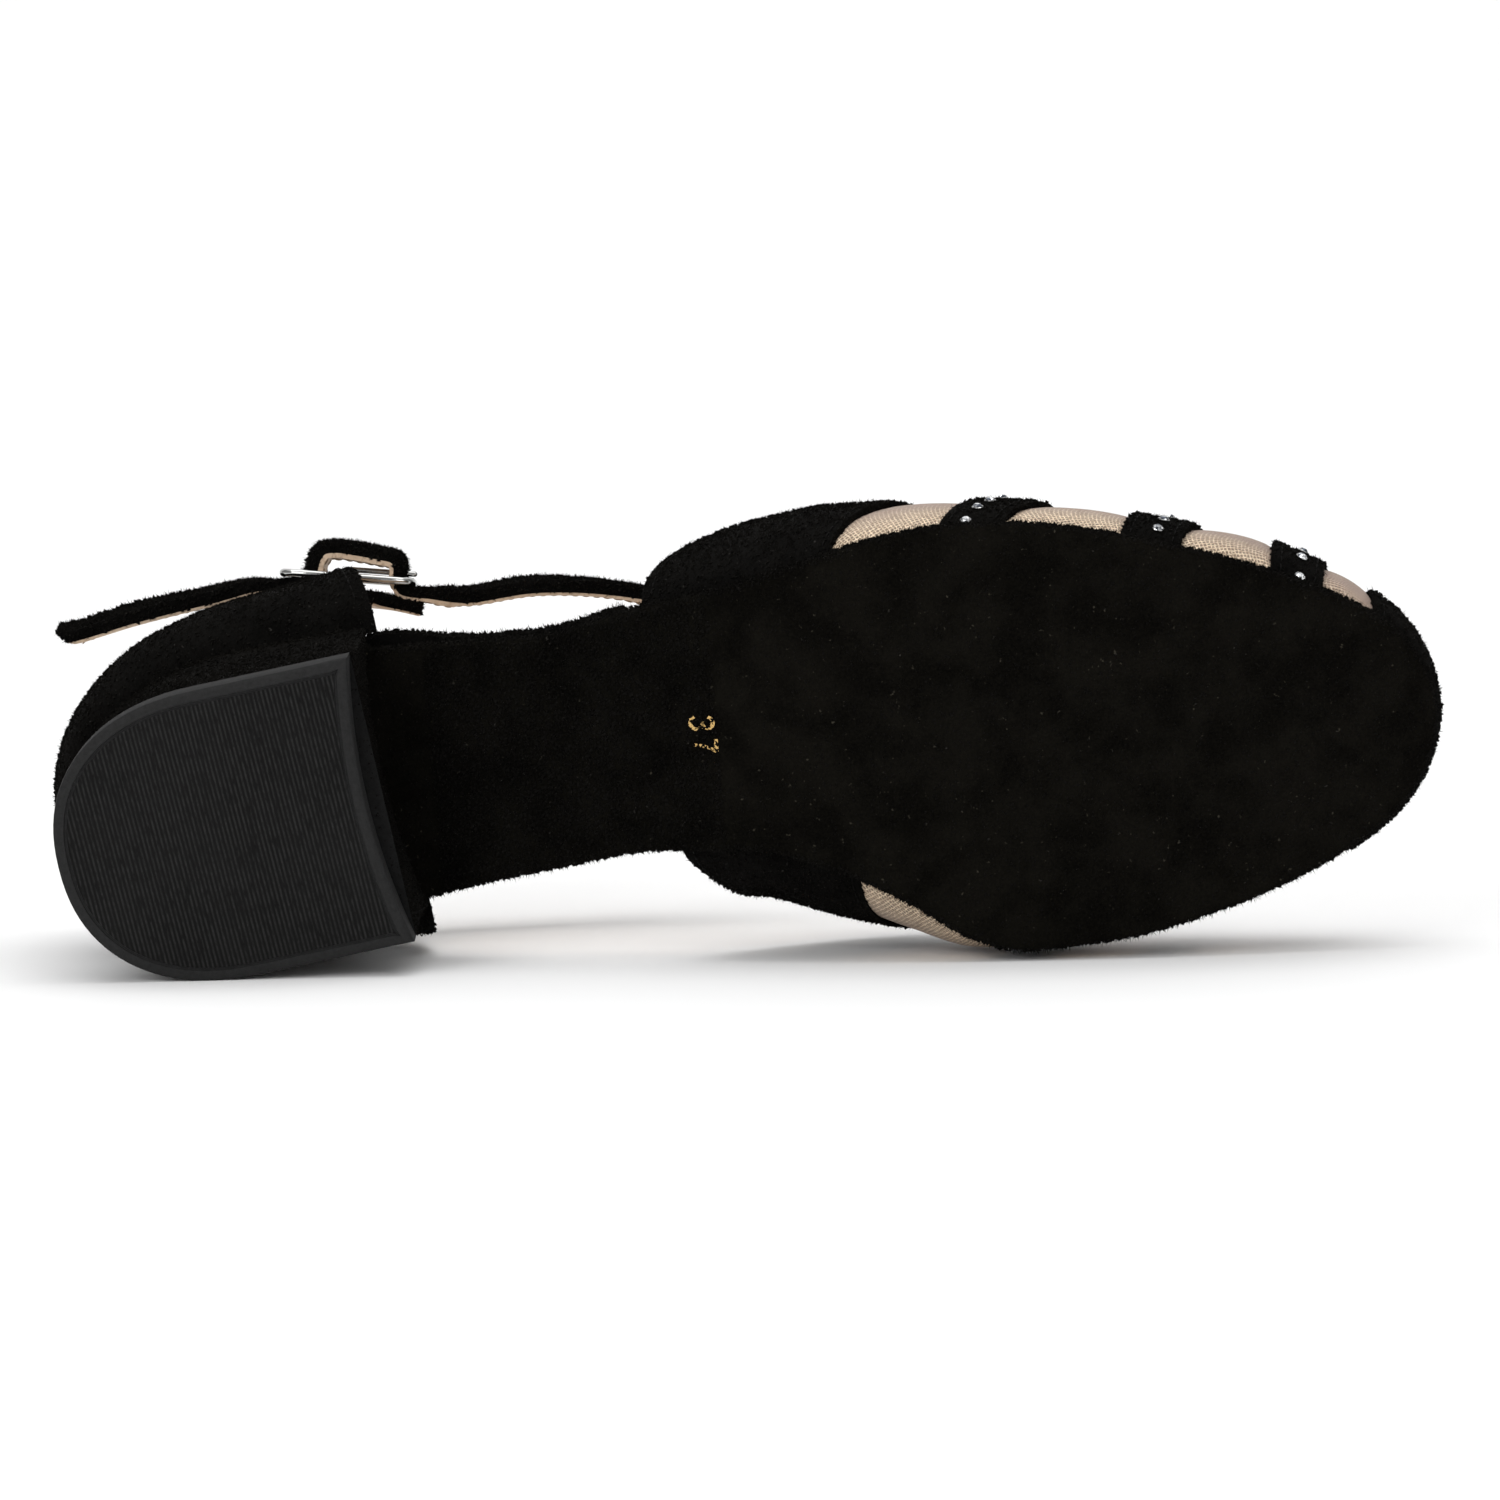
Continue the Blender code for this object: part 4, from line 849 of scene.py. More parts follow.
def loft(name, loops, finishes, places=None, cap=True, sharp=40):
    """A solid through loops of as many points each; places hold a finish for each stretch."""
    data = bmesh.new()
    uv = data.loops.layers.uv.new("UVMap")
    rings = [[data.verts.new(point) for point in loop] for loop in loops]
    count = len(rings[0])
    for k, (low, high) in enumerate(zip(rings, rings[1:])):
        for i in range(count):
            j = (i + 1) % count
            face = data.faces.new([low[i], low[j], high[j], high[i]])
            face.material_index = places[k] if places else 0
            for loop, (a, b) in zip(face.loops, ((k, i), (k, i + 1), (k + 1, i + 1), (k + 1, i))):
                loop[uv].uv = (b, a)
    if cap:
        ends = [data.faces.new(list(reversed(rings[0]))), data.faces.new(rings[-1])]
        for end, place in zip(ends, (places[0], places[-1]) if places else (0, 0)):
            end.material_index = place
        bmesh.ops.triangulate(data, faces=ends, ngon_method="EAR_CLIP")
    return finish_mesh(name, data, finishes, sharp)


def tube_loops(points, radius, sides, across, closed=False, round_ends=False):
    """The loops of a round wire along the points."""
    points = np.array(points, float)
    count = len(points)
    loops = []
    for i, point in enumerate(points):
        before = points[i - 1] if (closed or i > 0) else points[0]
        after = points[(i + 1) % count] if (closed or i < count - 1) else points[-1]
        run = unit(after - before)
        side = unit(np.cross(run, across))
        up = np.cross(side, run)
        angles = [2 * math.pi * (k + 0.5) / sides for k in range(sides)]
        spokes = [math.cos(a) * side + math.sin(a) * up for a in angles]
        loops.append([point + radius * spoke for spoke in spokes])
        if round_ends and i in (0, count - 1):
            outward = -run if i == 0 else run
            domes = []
            for lean in np.radians((30, 60, 82)):
                flat, out = math.cos(lean), math.sin(lean)
                domes.append([point + radius * (flat * spoke + out * outward) for spoke in spokes])
            loops = domes[::-1] + loops if i == 0 else loops + domes
    if closed:
        loops.append(loops[0])
    return loops


def ribbon_layers(path, across, width, levels, columns):
    """Grids of a flat strap along a path, at each level through its thickness."""
    grids = [[] for _ in levels]
    for i, point in enumerate(path):
        run = unit(path[min(i + 1, len(path) - 1)] - path[max(i - 1, 0)])
        wide = unit(across[i] - run * np.dot(across[i], run))
        out = np.cross(run, wide)
        for grid, level in zip(grids, levels):
            grid.append([point + wide * width * k + out * level for k in columns])
    return [np.array(grid) for grid in grids]


def softened(grid, amount, size, seed):
    """The grid with the slight unevenness of a hand-made piece, square to its surface."""
    along = np.gradient(grid, axis=0)
    across = np.gradient(grid, axis=1)
    normal = np.cross(along, across)
    normal /= np.maximum(np.linalg.norm(normal, axis=2, keepdims=True), 1e-12)
    out = grid.copy()
    for i in range(grid.shape[0]):
        for j in range(grid.shape[1]):
            p = grid[i, j] / size
            wave = noise.noise(Vector((p[0] + seed, p[1], p[2]))) - 0.8
            out[i, j] += normal[i, j] * amount * wave
    return out


# Materials


def node(tree, kind, inputs=None, **settings):
    """A node with its settings and inputs; an input is a value or another node's output."""
    made = tree.nodes.new(kind)
    for key, value in settings.items():
        setattr(made, key, value)
    for key, value in (inputs or {}).items():
        if isinstance(value, bpy.types.NodeSocket):
            tree.links.new(value, made.inputs[key])
        else:
            made.inputs[key].default_value = value
    return made


def new_finish(name, **values):
    """A material, its tree and its shader, with constant values set on the shader's own sockets."""
    made = bpy.data.materials.new(name)
    made.use_nodes = True
    tree = made.node_tree
    shader = tree.nodes["Principled BSDF"]
    for key, value in values.items():
        shader.inputs[key.replace("_", " ")].default_value = value
    return made, tree, shader


def speckle(tree, vector, size, detail=4.0, roughness=0.6):
    """Noise with features of a given size in metres."""
    return node(tree, "ShaderNodeTexNoise", {
        "Vector": vector, "Scale": 1.0 / size, "Detail": detail, "Roughness": roughness,
    }).outputs["Fac"]


def blend_colours(tree, factor, first, second):
    """A colour between two by a factor."""
    mix = node(tree, "ShaderNodeMix", data_type="RGBA")
    tree.links.new(factor, mix.inputs[0])
    for socket, value in ((mix.inputs[6], first), (mix.inputs[7], second)):
        if isinstance(value, bpy.types.NodeSocket):
            tree.links.new(value, socket)
        else:
            socket.default_value = (*value, 1.0)
    return mix.outputs[2]


def remap(tree, value, low, high, to_low=0.0, to_high=1.0):
    """A value stretched from one range to another, and held inside it."""
    return node(tree, "ShaderNodeMapRange", {
        "Value": value, "From Min": low, "From Max": high, "To Min": to_low, "To Max": to_high,
    }).outputs[0]


def maths(tree, operation, *values):
    """A sum, product or other operation on values or outputs."""
    made = node(tree, "ShaderNodeMath", operation=operation)
    for k, value in enumerate(values):
        if isinstance(value, bpy.types.NodeSocket):
            tree.links.new(value, made.inputs[k])
        else:
            made.inputs[k].default_value = value
    return made.outputs[0]


def bumped(tree, shader, height, distance):
    """Relief of a given height in metres."""
    relief = node(tree, "ShaderNodeBump", {"Height": height, "Distance": distance})
    tree.links.new(relief.outputs[0], shader.inputs["Normal"])


def painted(tree, shader, colour, socket="Base Color"):
    """Give an output to one of the shader's sockets."""
    tree.links.new(colour, shader.inputs[socket])


def own_place(tree):
    """Coordinates fixed to the piece."""
    return node(tree, "ShaderNodeTexCoord").outputs["Object"]


def suede_finish(name, dark, light, relief, sheen):
    """Napped leather: brushed patches, fine fibres and a soft sheen."""
    made, tree, shader = new_finish(
        name, Roughness=0.95, Sheen_Weight=sheen, Sheen_Roughness=0.45, Specular_IOR_Level=0.02,
        Sheen_Tint=SHEEN,
    )
    place = own_place(tree)
    fibres = speckle(tree, place, 0.45 * MM, 5.0, 0.75)
    patches = speckle(tree, place, 9 * MM, 3.0, 0.55)
    brushed = remap(tree, patches, 0.38, 0.62)
    grain = remap(tree, fibres, 0.35, 0.7)
    amount = maths(tree, "MULTIPLY_ADD", grain, 0.6, maths(tree, "MULTIPLY", brushed, 0.4))
    dust = remap(tree, speckle(tree, place, 0.9 * MM, 2.0, 0.5), 0.70, 0.78)
    speck = tuple(4.5 * c for c in light)
    painted(tree, shader, blend_colours(tree, dust, blend_colours(tree, amount, dark, light), speck))
    bumped(tree, shader, fibres, relief)
    return made


def standing_measure(tree, place, axis):
    """How far along one of the standing shoe's axes a place of the lying shoe is."""
    along = node(tree, "ShaderNodeVectorMath", {0: place, 1: tuple(TURN[:, axis])},
                 operation="DOT_PRODUCT").outputs[1]
    return maths(tree, "SUBTRACT", along, float(SHIFT @ TURN[:, axis]))


def net_finish():
    """Fine net drawn over a lining of nearly the same colour, painted darker in its holes as painted shade;
    ribbed where it turns to the instep, and painted darker there as painted shade.
    """
    made, tree, shader = new_finish("beige_net", Roughness=0.7, Sheen_Weight=0.1,
                                    Specular_IOR_Level=0.3)
    run = node(tree, "ShaderNodeUVMap", uv_map="UVMap").outputs[0]
    sheared = node(tree, "ShaderNodeMapping", {
        "Vector": run, "Rotation": (0, 0, math.radians(38)), "Scale": (1.1, 1.4, 1.0),
    }).outputs[0]
    cells = node(tree, "ShaderNodeTexVoronoi", {"Vector": sheared, "Scale": 1.0, "Randomness": 0.25},
                 feature="DISTANCE_TO_EDGE").outputs["Distance"]
    threads = remap(tree, cells, 0.24, 0.08)
    across, ahead = node(tree, "ShaderNodeSeparateXYZ", {0: run}).outputs[:2]
    along = maths(tree, "MULTIPLY_ADD", ahead, 0.75, maths(tree, "ABSOLUTE", across))
    broken = maths(tree, "MULTIPLY", speckle(tree, run, 1.6, 2.0), 2.2)
    turns = maths(tree, "MULTIPLY", along, 2 * math.pi)
    wave = maths(tree, "SINE", maths(tree, "ADD", turns, broken))
    ribs = remap(tree, wave, 0.0, 0.8)
    place = own_place(tree)
    # Painted shade: the net darkens with its height over the feather, towards the instep
    rise, ahead = (standing_measure(tree, place, axis) for axis in (2, 0))
    crown = maths(tree, "MULTIPLY_ADD", ahead, -0.33, 102 * MM)
    share = maths(tree, "DIVIDE", maths(tree, "SUBTRACT", rise, 5 * MM), crown)
    away = remap(tree, share, 0.07, 0.27)
    uneven = speckle(tree, place, 3 * MM, 4.0)
    grain = speckle(tree, place, 0.7 * MM, 3.0, 0.6)
    # Painted shade: the lining in the holes is darker than the lining itself
    lining = blend_colours(tree, remap(tree, uneven, 0.35, 0.65), *NET_LINING_AND_HOLE_SHADE)
    yarn = blend_colours(tree, remap(tree, grain, 0.36, 0.62), *NET_YARN)
    mesh = blend_colours(tree, threads, lining, yarn)
    turned = blend_colours(tree, maths(tree, "MULTIPLY", ribs, 0.9), *NET_RIBS_AND_SHADE)
    shade = maths(tree, "MULTIPLY_ADD", away, 0.88, 0.03)
    painted(tree, shader, blend_colours(tree, shade, mesh, turned))
    thread_relief, rib_relief = maths(tree, "MULTIPLY", threads, 0.6), maths(tree, "MULTIPLY", ribs, 0.4)
    bumped(tree, shader, maths(tree, "ADD", thread_relief, rib_relief), 0.14 * MM)
    return made


def lining_finish():
    """Soft beige leather with fine pores."""
    made, tree, shader = new_finish("beige_lining", Roughness=0.62, Specular_IOR_Level=0.35)
    place = own_place(tree)
    pores = speckle(tree, place, 0.5 * MM, 4.0, 0.7)
    stain = speckle(tree, place, 11 * MM, 3.0)
    colour = blend_colours(tree, remap(tree, stain, 0.35, 0.65), *LINING)
    painted(tree, shader, blend_colours(tree, remap(tree, pores, 0.55, 0.75), colour, LINING_PORE))
    bumped(tree, shader, pores, 0.06 * MM)
    return made


def rim_finish():
    """Plain charcoal rubber, a little lighter than the walking face."""
    made, tree, shader = new_finish("plain_rubber", Roughness=0.72, Specular_IOR_Level=0.12)
    dust = speckle(tree, own_place(tree), 0.8 * MM, 6.0, 0.7)
    painted(tree, shader, blend_colours(tree, remap(tree, dust, 0.3, 0.75), *RUBBER_RIM))
    bumped(tree, shader, dust, 0.05 * MM)
    return made


def ribbed_finish():
    """Charcoal rubber with the walking face's fine broken ribs, and painted shade in the grooves between
    them.
    """
    made, tree, shader = new_finish("ribbed_rubber", Roughness=0.72, Specular_IOR_Level=0.12)
    place = own_place(tree)
    dust = speckle(tree, place, 0.8 * MM, 6.0, 0.7)
    turned = node(tree, "ShaderNodeMapping", {"Vector": place, "Rotation": (0, RIB_TURN, 0)}).outputs[0]
    across = node(tree, "ShaderNodeSeparateXYZ", {0: turned}).outputs[0]
    wave = maths(tree, "SINE", maths(tree, "MULTIPLY", across, 2 * math.pi / RIB_PITCH))
    stretched = node(tree, "ShaderNodeMapping", {"Vector": turned, "Scale": (1.0, 1.0, 0.35)}).outputs[0]
    breaks = remap(tree, speckle(tree, stretched, 0.9 * MM, 3.0), 0.30, 0.54)
    ribs = maths(tree, "MULTIPLY", remap(tree, wave, -0.5, 0.7), breaks)
    worn = speckle(tree, place, 14 * MM, 3.0)
    # Painted shade: the grooves are painted much darker than the ribs, patchy at random
    low = blend_colours(tree, remap(tree, worn, 0.35, 0.65), *RUBBER_GROOVE_SHADE)
    high = blend_colours(tree, remap(tree, dust, 0.4, 0.75), *RUBBER_RIB)
    painted(tree, shader, blend_colours(tree, ribs, low, high))
    bumped(tree, shader, ribs, 0.10 * MM)
    return made


def steel_finish():
    """Polished plated steel with fine handling marks."""
    made, tree, shader = new_finish("polished_steel", Metallic=1.0, Base_Color=STEEL)
    place = own_place(tree)
    marks = speckle(tree, place, 0.6 * MM, 4.0)
    painted(tree, shader, remap(tree, marks, 0.3, 0.7, 0.08, 0.22), "Roughness")
    bumped(tree, shader, speckle(tree, place, 2.5 * MM, 2.0), 0.03 * MM)
    return made


def stone_finish():
    """Clear cut stones over foil, with bright and dark patches painted into their colour as painted glints.
    """
    made, tree, shader = new_finish("clear_stone", Metallic=0.8, Roughness=0.08, Coat_Weight=0.5,
                                    Coat_Roughness=0.03)
    # Painted glints: each patch of about a facet's size gets its own colour from dark to bright
    facets = node(tree, "ShaderNodeTexVoronoi", {"Vector": own_place(tree), "Scale": 1 / (0.75 * MM)})
    painted_glint = node(tree, "ShaderNodeSeparateColor", {0: facets.outputs["Color"]}).outputs[0]
    painted(tree, shader, blend_colours(tree, remap(tree, painted_glint, 0.35, 0.8), *STONE_GLINTS))
    return made


def thread_finish(name, colour):
    """Twisted sewing thread."""
    made, tree, shader = new_finish(name, Roughness=0.75, Specular_IOR_Level=0.06)
    twist = speckle(tree, own_place(tree), 0.35 * MM, 2.0)
    painted(tree, shader, blend_colours(tree, twist, tuple(c * THREAD_SHADE for c in colour), colour))
    bumped(tree, shader, twist, 0.06 * MM)
    return made


def foil_finish():
    """Gold foil on the suede, rubbed through in places."""
    made, tree, shader = new_finish("gold_foil", Specular_IOR_Level=0.4)
    place = own_place(tree)
    whole = remap(tree, speckle(tree, place, 0.55 * MM, 4.0, 0.7), 0.28, 0.38)
    tone = blend_colours(tree, speckle(tree, place, 2 * MM), *FOIL)
    painted(tree, shader, blend_colours(tree, whole, FOIL_RUBBED, tone))
    painted(tree, shader, remap(tree, whole, 0.0, 1.0, 0.0, 0.9), "Metallic")
    painted(tree, shader, remap(tree, whole, 0.0, 1.0, 0.9, 0.38), "Roughness")
    return made


def floor_finish():
    """A matte white studio floor."""
    made, tree, shader = new_finish("white_floor", Roughness=0.9, Specular_IOR_Level=0.1)
    painted(tree, shader, blend_colours(tree, speckle(tree, own_place(tree), 0.4), *FLOOR))
    return made


FINISH = {
    "suede": suede_finish("black_suede", *SUEDE, 0.12 * MM, 0.012),
    "sole": suede_finish("black_suede_sole", *SOLE_SUEDE, 0.10 * MM, 0.012),
    "nap": suede_finish("suede_fibres", *FIBRES, 0.02 * MM, 0.015),
    "net": net_finish(),
    "lining": lining_finish(),
    "ribs": ribbed_finish(),
    "rubber": rim_finish(),
    "steel": steel_finish(),
    "stone": stone_finish(),
    "black_thread": thread_finish("black_thread", BLACK_THREAD),
    "beige_thread": thread_finish("beige_thread", BEIGE_THREAD),
    "foil": foil_finish(),
}


# Copies along a path and nap, made with Geometry Nodes


def socket_name(tree, name):
    """The identifier of a tree's named input."""
    return next(i.identifier for i in tree.interface.items_tree if i.name == name)


def new_tree(name, inputs, output):
    """A tree with the given inputs, a name and a kind each, and one output of geometry."""
    tree = bpy.data.node_groups.new(name, "GeometryNodeTree")
    for label, kind in inputs:
        tree.interface.new_socket(label, in_out="INPUT", socket_type="NodeSocket" + kind)
    tree.interface.new_socket(output, in_out="OUTPUT", socket_type="NodeSocketGeometry")
    return tree, node(tree, "NodeGroupInput").outputs


def end_tree(tree, copies, given, output):
    """The last nodes: the copies made real, given their finish and handed out."""
    real = node(tree, "GeometryNodeRealizeInstances", {0: copies.outputs[0]}).outputs[0]
    finished = node(tree, "GeometryNodeSetMaterial", {"Geometry": real, "Material": given["Finish"]})
    node(tree, "NodeGroupOutput", {output: finished.outputs[0]})
    return tree


def path_repeat_tree():
    """A tree that sets a copy of one piece at even spacing along a path, square to the surface."""
    tree, given = new_tree("repeat_along_path", (
        ("Path", "Geometry"), ("Piece", "Object"), ("Spacing", "Float"), ("Uneven", "Float"),
        ("Seed", "Int"), ("Finish", "Material"),
    ), "Row")
    line = node(tree, "GeometryNodeMeshToCurve", {"Mesh": given["Path"]}).outputs[0]
    even = node(tree, "GeometryNodeResampleCurve", {"Curve": line, "Length": given["Spacing"]}, mode="LENGTH")
    facing = node(tree, "GeometryNodeInputNamedAttribute", {"Name": "facing"}, data_type="FLOAT_VECTOR")
    upright = node(tree, "FunctionNodeAlignRotationToVector", {"Vector": facing.outputs[0]}, axis="Z")
    along = node(tree, "FunctionNodeAlignRotationToVector", {
        "Rotation": upright.outputs[0], "Vector": node(tree, "GeometryNodeInputTangent").outputs[0],
    }, axis="X", pivot_axis="Z")
    spin = node(tree, "FunctionNodeRandomValue", {"Seed": given["Seed"]}, data_type="FLOAT")
    swing = maths(tree, "SUBTRACT", spin.outputs[1], 0.5)
    amount = maths(tree, "MULTIPLY", swing, given["Uneven"])
    turn = node(tree, "FunctionNodeAxisAngleToRotation", {"Axis": (0, 0, 1), "Angle": amount})
    turned = node(tree, "FunctionNodeRotateRotation", {
        "Rotation": along.outputs[0], "Rotate By": turn.outputs[0],
    }, rotation_space="LOCAL")
    piece = node(tree, "GeometryNodeObjectInfo", {"Object": given["Piece"], "As Instance": True})
    copies = node(tree, "GeometryNodeInstanceOnPoints", {
        "Points": even.outputs[0], "Instance": piece.outputs["Geometry"], "Rotation": turned.outputs[0],
    })
    return end_tree(tree, copies, given, "Row")


def nap_tree():
    """A tree that covers a surface with short leaning fibres."""
    tree, given = new_tree("nap", (
        ("Surface", "Geometry"), ("Per Square Metre", "Float"), ("Length", "Float"), ("Width", "Float"),
        ("Seed", "Int"), ("Finish", "Material"),
    ), "Fibres")
    scatter = node(tree, "GeometryNodeDistributePointsOnFaces", {
        "Mesh": given["Surface"], "Density": given["Per Square Metre"], "Seed": given["Seed"],
    })
    lean = node(tree, "FunctionNodeRandomValue", {
        0: (-NAP_LEAN,) * 3, 1: (NAP_LEAN,) * 3, "Seed": given["Seed"],
    }, data_type="FLOAT_VECTOR")
    aim = node(tree, "ShaderNodeVectorMath", {0: scatter.outputs["Normal"], 1: lean.outputs[0]},
               operation="ADD")
    stand = node(tree, "FunctionNodeAlignRotationToVector", {"Vector": aim.outputs[0]}, axis="Z")
    sizes = node(tree, "FunctionNodeRandomValue", {
        2: NAP_SCALES[0], 3: NAP_SCALES[1], "Seed": given["Seed"],
    }, data_type="FLOAT")
    fibre = node(tree, "GeometryNodeMeshCone", {
        "Vertices": 3, "Radius Top": 0.0, "Radius Bottom": given["Width"], "Depth": given["Length"],
    }, fill_type="NONE")
    copies = node(tree, "GeometryNodeInstanceOnPoints", {
        "Points": scatter.outputs["Points"], "Instance": fibre.outputs["Mesh"],
        "Rotation": stand.outputs[0], "Scale": sizes.outputs[1],
    })
    return end_tree(tree, copies, given, "Fibres")


REPEAT = path_repeat_tree()
NAP = nap_tree()


def grown(carrier, tree, values, name):
    """The plain mesh that a tree makes on its carrier, which is then removed."""
    modifier = carrier.modifiers.new("grow", "NODES")
    modifier.node_group = tree
    for key, value in values.items():
        modifier[socket_name(tree, key)] = value
    carrier.update_tag()
    bpy.context.view_layer.update()
    graph = bpy.context.evaluated_depsgraph_get()
    mesh = bpy.data.meshes.new_from_object(carrier.evaluated_get(graph), depsgraph=graph)
    bpy.data.objects.remove(carrier, do_unlink=True)
    mesh.name = name
    return in_scene(name, mesh)


def path_carrier(paths):
    """A mesh of plain lines with the direction that each point faces; a path is (points, facings)."""
    points, facings, edges = [], [], []
    for line, facing in paths:
        start = len(points)
        points += [tuple(p) for p in lay(line)]
        facings += [tuple(f) for f in lay_direction(facing)]
        edges += [(start + k, start + k + 1) for k in range(len(line) - 1)]
    mesh = bpy.data.meshes.new("path")
    mesh.from_pydata(points, edges, [])
    attribute = mesh.attributes.new("facing", "FLOAT_VECTOR", "POINT")
    attribute.data.foreach_set("vector", np.array(facings, np.float32).ravel())
    return in_scene("path", mesh)


def tool_piece(name, data):
    """A small mesh that a tree copies, kept out of the scene."""
    bmesh.ops.recalc_face_normals(data, faces=data.faces)
    return bpy.data.objects.new(name, plain_mesh(name, data))


def stitch_tool(length):
    """One stitch: thread that rises out of the leather and dives back in."""
    data = bmesh.new()
    rings = []
    for k in range(6):
        t = k / 5
        z = THREAD_RISE * math.sin(math.pi * t) ** 0.5 - THREAD_SINK
        thick = THREAD_WIDTH / 2 * (0.55 + 0.45 * math.sin(math.pi * t))
        ring = []
        for a in range(5):
            angle = 2 * math.pi * a / 5
            corner = ((t - 0.5) * length, thick * math.cos(angle), z + thick * math.sin(angle))
            ring.append(data.verts.new(corner))
        rings.append(ring)
    for low, high in zip(rings, rings[1:]):
        for a in range(5):
            b = (a + 1) % 5
            data.faces.new([low[a], low[b], high[b], high[a]])
    data.faces.new(list(reversed(rings[0])))
    data.faces.new(rings[-1])
    return tool_piece("stitch_tool", data)


def plain_ring(data, count, radius, height, shift=0.0):
    """The corners of a level ring."""
    angles = [2 * math.pi * (k + shift) / count for k in range(count)]
    return [data.verts.new((radius * math.cos(a), radius * math.sin(a), height)) for a in angles]


def stone_tool(width):
    """One cut stone: a flat table, a crown of kite facets and a flat back."""
    data = bmesh.new()
    levels = ((0.50, 0.0, 0.0), (0.50, 0.10, 0.0), (0.40, 0.24, 0.5), (0.27, 0.34, 0.0))
    rings = [plain_ring(data, 8, radius * width, height * width, shift) for radius, height, shift in levels]
    back, girdle, crown, table = rings
    for k in range(8):
        j = (k + 1) % 8
        data.faces.new([back[k], back[j], girdle[j], girdle[k]])
    for k in range(8):
        j = (k + 1) % 8
        data.faces.new([girdle[k], girdle[j], crown[k]])
        data.faces.new([crown[k], girdle[j], crown[j]])
    for k in range(8):
        j = (k + 1) % 8
        data.faces.new([crown[k], table[j], table[k]])
        data.faces.new([crown[k], crown[j], table[j]])
    data.faces.new(back[::-1])
    data.faces.new(table)
    return tool_piece("stone_tool", data)


def cup_tool(width):
    """The thin metal cup that a stone is set in."""
    data = bmesh.new()
    levels = ((0.50, 0.02), (0.57, 0.0), (0.585, 0.10), (0.55, 0.17), (0.50, 0.13))
    rings = [plain_ring(data, 12, radius * width, height * width) for radius, height in levels]
    for low, high in zip(rings, rings[1:] + rings[:1]):
        for k in range(12):
            j = (k + 1) % 12
            data.faces.new([low[k], low[j], high[j], high[k]])
    return tool_piece("cup_tool", data)


# The pieces


def settle(piece, slot, *nodes):
    """Give a finished piece to the shoe: what it rides on and what it stands for. The finish slot is not
    used.
    """
    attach(piece, "root")
    if nodes:
        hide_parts(*nodes)
    return piece


def sole_slab(name, stations, edge_y, levels, across, finishes, sides):
    """A flat layer that follows the sole: sections at the stations, each through the levels.

    A level is a height function and an inset from the edge, from the bottom face to the top one.
    """
    data = bmesh.new()
    uv = data.loops.layers.uv.new("UVMap")
    rings = []
    for x in stations:
        outer, inner = float(edge_y(x, LATERAL)), float(edge_y(x, MEDIAL))
        width = inner - outer
        half = [(min(inset, width * 0.25), float(height(x))) for height, inset in levels]
        ring = [(outer + reach, z) for reach, z in half]
        ring += [(outer + half[-1][0] + (width - 2 * half[-1][0]) * k / across, half[-1][1])
                 for k in range(1, across)]
        ring += [(inner - reach, z) for reach, z in reversed(half)]
        ring += [(inner - half[0][0] - (width - 2 * half[0][0]) * k / across, half[0][1])
                 for k in range(1, across)]
        rings.append([data.verts.new((x, y, z)) for y, z in ring])
    count = len(rings[0])
    top_start, top_end = len(levels) - 1, len(levels) - 1 + across
    for before, after in zip(rings, rings[1:]):
        for i in range(count):
            j = (i + 1) % count
            face = data.faces.new([before[i], before[j], after[j], after[i]])
            side = "top" if top_start <= i < top_end else "edge"
            side = "bottom" if i >= 2 * len(levels) + across - 2 else side
            face.material_index = sides[side]
            for loop in face.loops:
                loop[uv].uv = (loop.vert.co.y * 1000, loop.vert.co.x * 1000)
    data.faces.new(rings[0]).material_index = sides["edge"]
    data.faces.new(list(reversed(rings[-1]))).material_index = sides["edge"]
    return finish_mesh(name, data, finishes, 50)


def spread_stations(back, front, count, margin):
    """Stations that crowd at both round ends."""
    angles = np.linspace(0, math.pi, count)
    xs = back + (front - back) * (1 - np.cos(angles)) / 2
    return np.concatenate([[back + margin], xs[1:-1], [front - margin]])


def make_sole():
    """The suede outsole, with softly rounded edges."""
    back = (SEAT_LINE - SEAT_OUTWARD * SEAT_INSET)[:, 0].min()
    stations = spread_stations(back, SOLE_LENGTH, 150, SOLE_END_FLAT)
    levels = [(lambda x, rise=rise: underside(x) + rise, inset) for rise, inset in SOLE_FOOT]
    levels += [
        (lambda x: underside(x) + sole_thickness(x) * 0.5, 0.0),
        (lambda x: underside(x) + sole_thickness(x) - SOLE_TOP_ROUND, 0.0),
        (lambda x: underside(x) + sole_thickness(x), SOLE_TOP_ROUND),
    ]
    made = sole_slab("sole_suede", stations, sole_edge, levels, SLAB_COLUMNS, [FINISH["sole"]],
                     {"top": 0, "bottom": 0, "edge": 0})
    return settle(made, "black_suede_sole", "outsole")


def board_edge(x, side):
    """Outline of the insole board: inside the walls, and out to its own edge between them."""
    free = sole_edge(x, side)
    if side == LATERAL:
        part, start, end = BOARD_OUT_AGAIN
        out_again = smooth_step(x, start * SOLE_LENGTH, end * SOLE_LENGTH)
        free = free - BOARD_OVERHANG * (1 - part * out_again)
    foot = SEAT_LINE[0] if side == LATERAL else SEAT_LINE[-1]
    counter_end = foot[0] + GAP
    vamp_start = THROAT_FOOT[0 if side == LATERAL else 1] * SOLE_LENGTH - GAP
    in_counter = 1 - smooth_step(x, *(counter_end + distance for distance in COUNTER_MEET))
    in_vamp = smooth_step(x, vamp_start - VAMP_MEET, vamp_start)
    walled = seat_edge(x, side, COUNTER_WALL + 2 * GAP)
    if x > vamp_start - VAMP_MEET:
        inset = FEATHER_INSET + VAMP_WALL + 2 * GAP
        inner = edge_point(np.linspace(1.2, math.pi, 200), side, inset)
        walled = np.interp(x, inner[:, 0], inner[:, 1])
    return float(free + (walled - free) * max(in_counter, in_vamp))


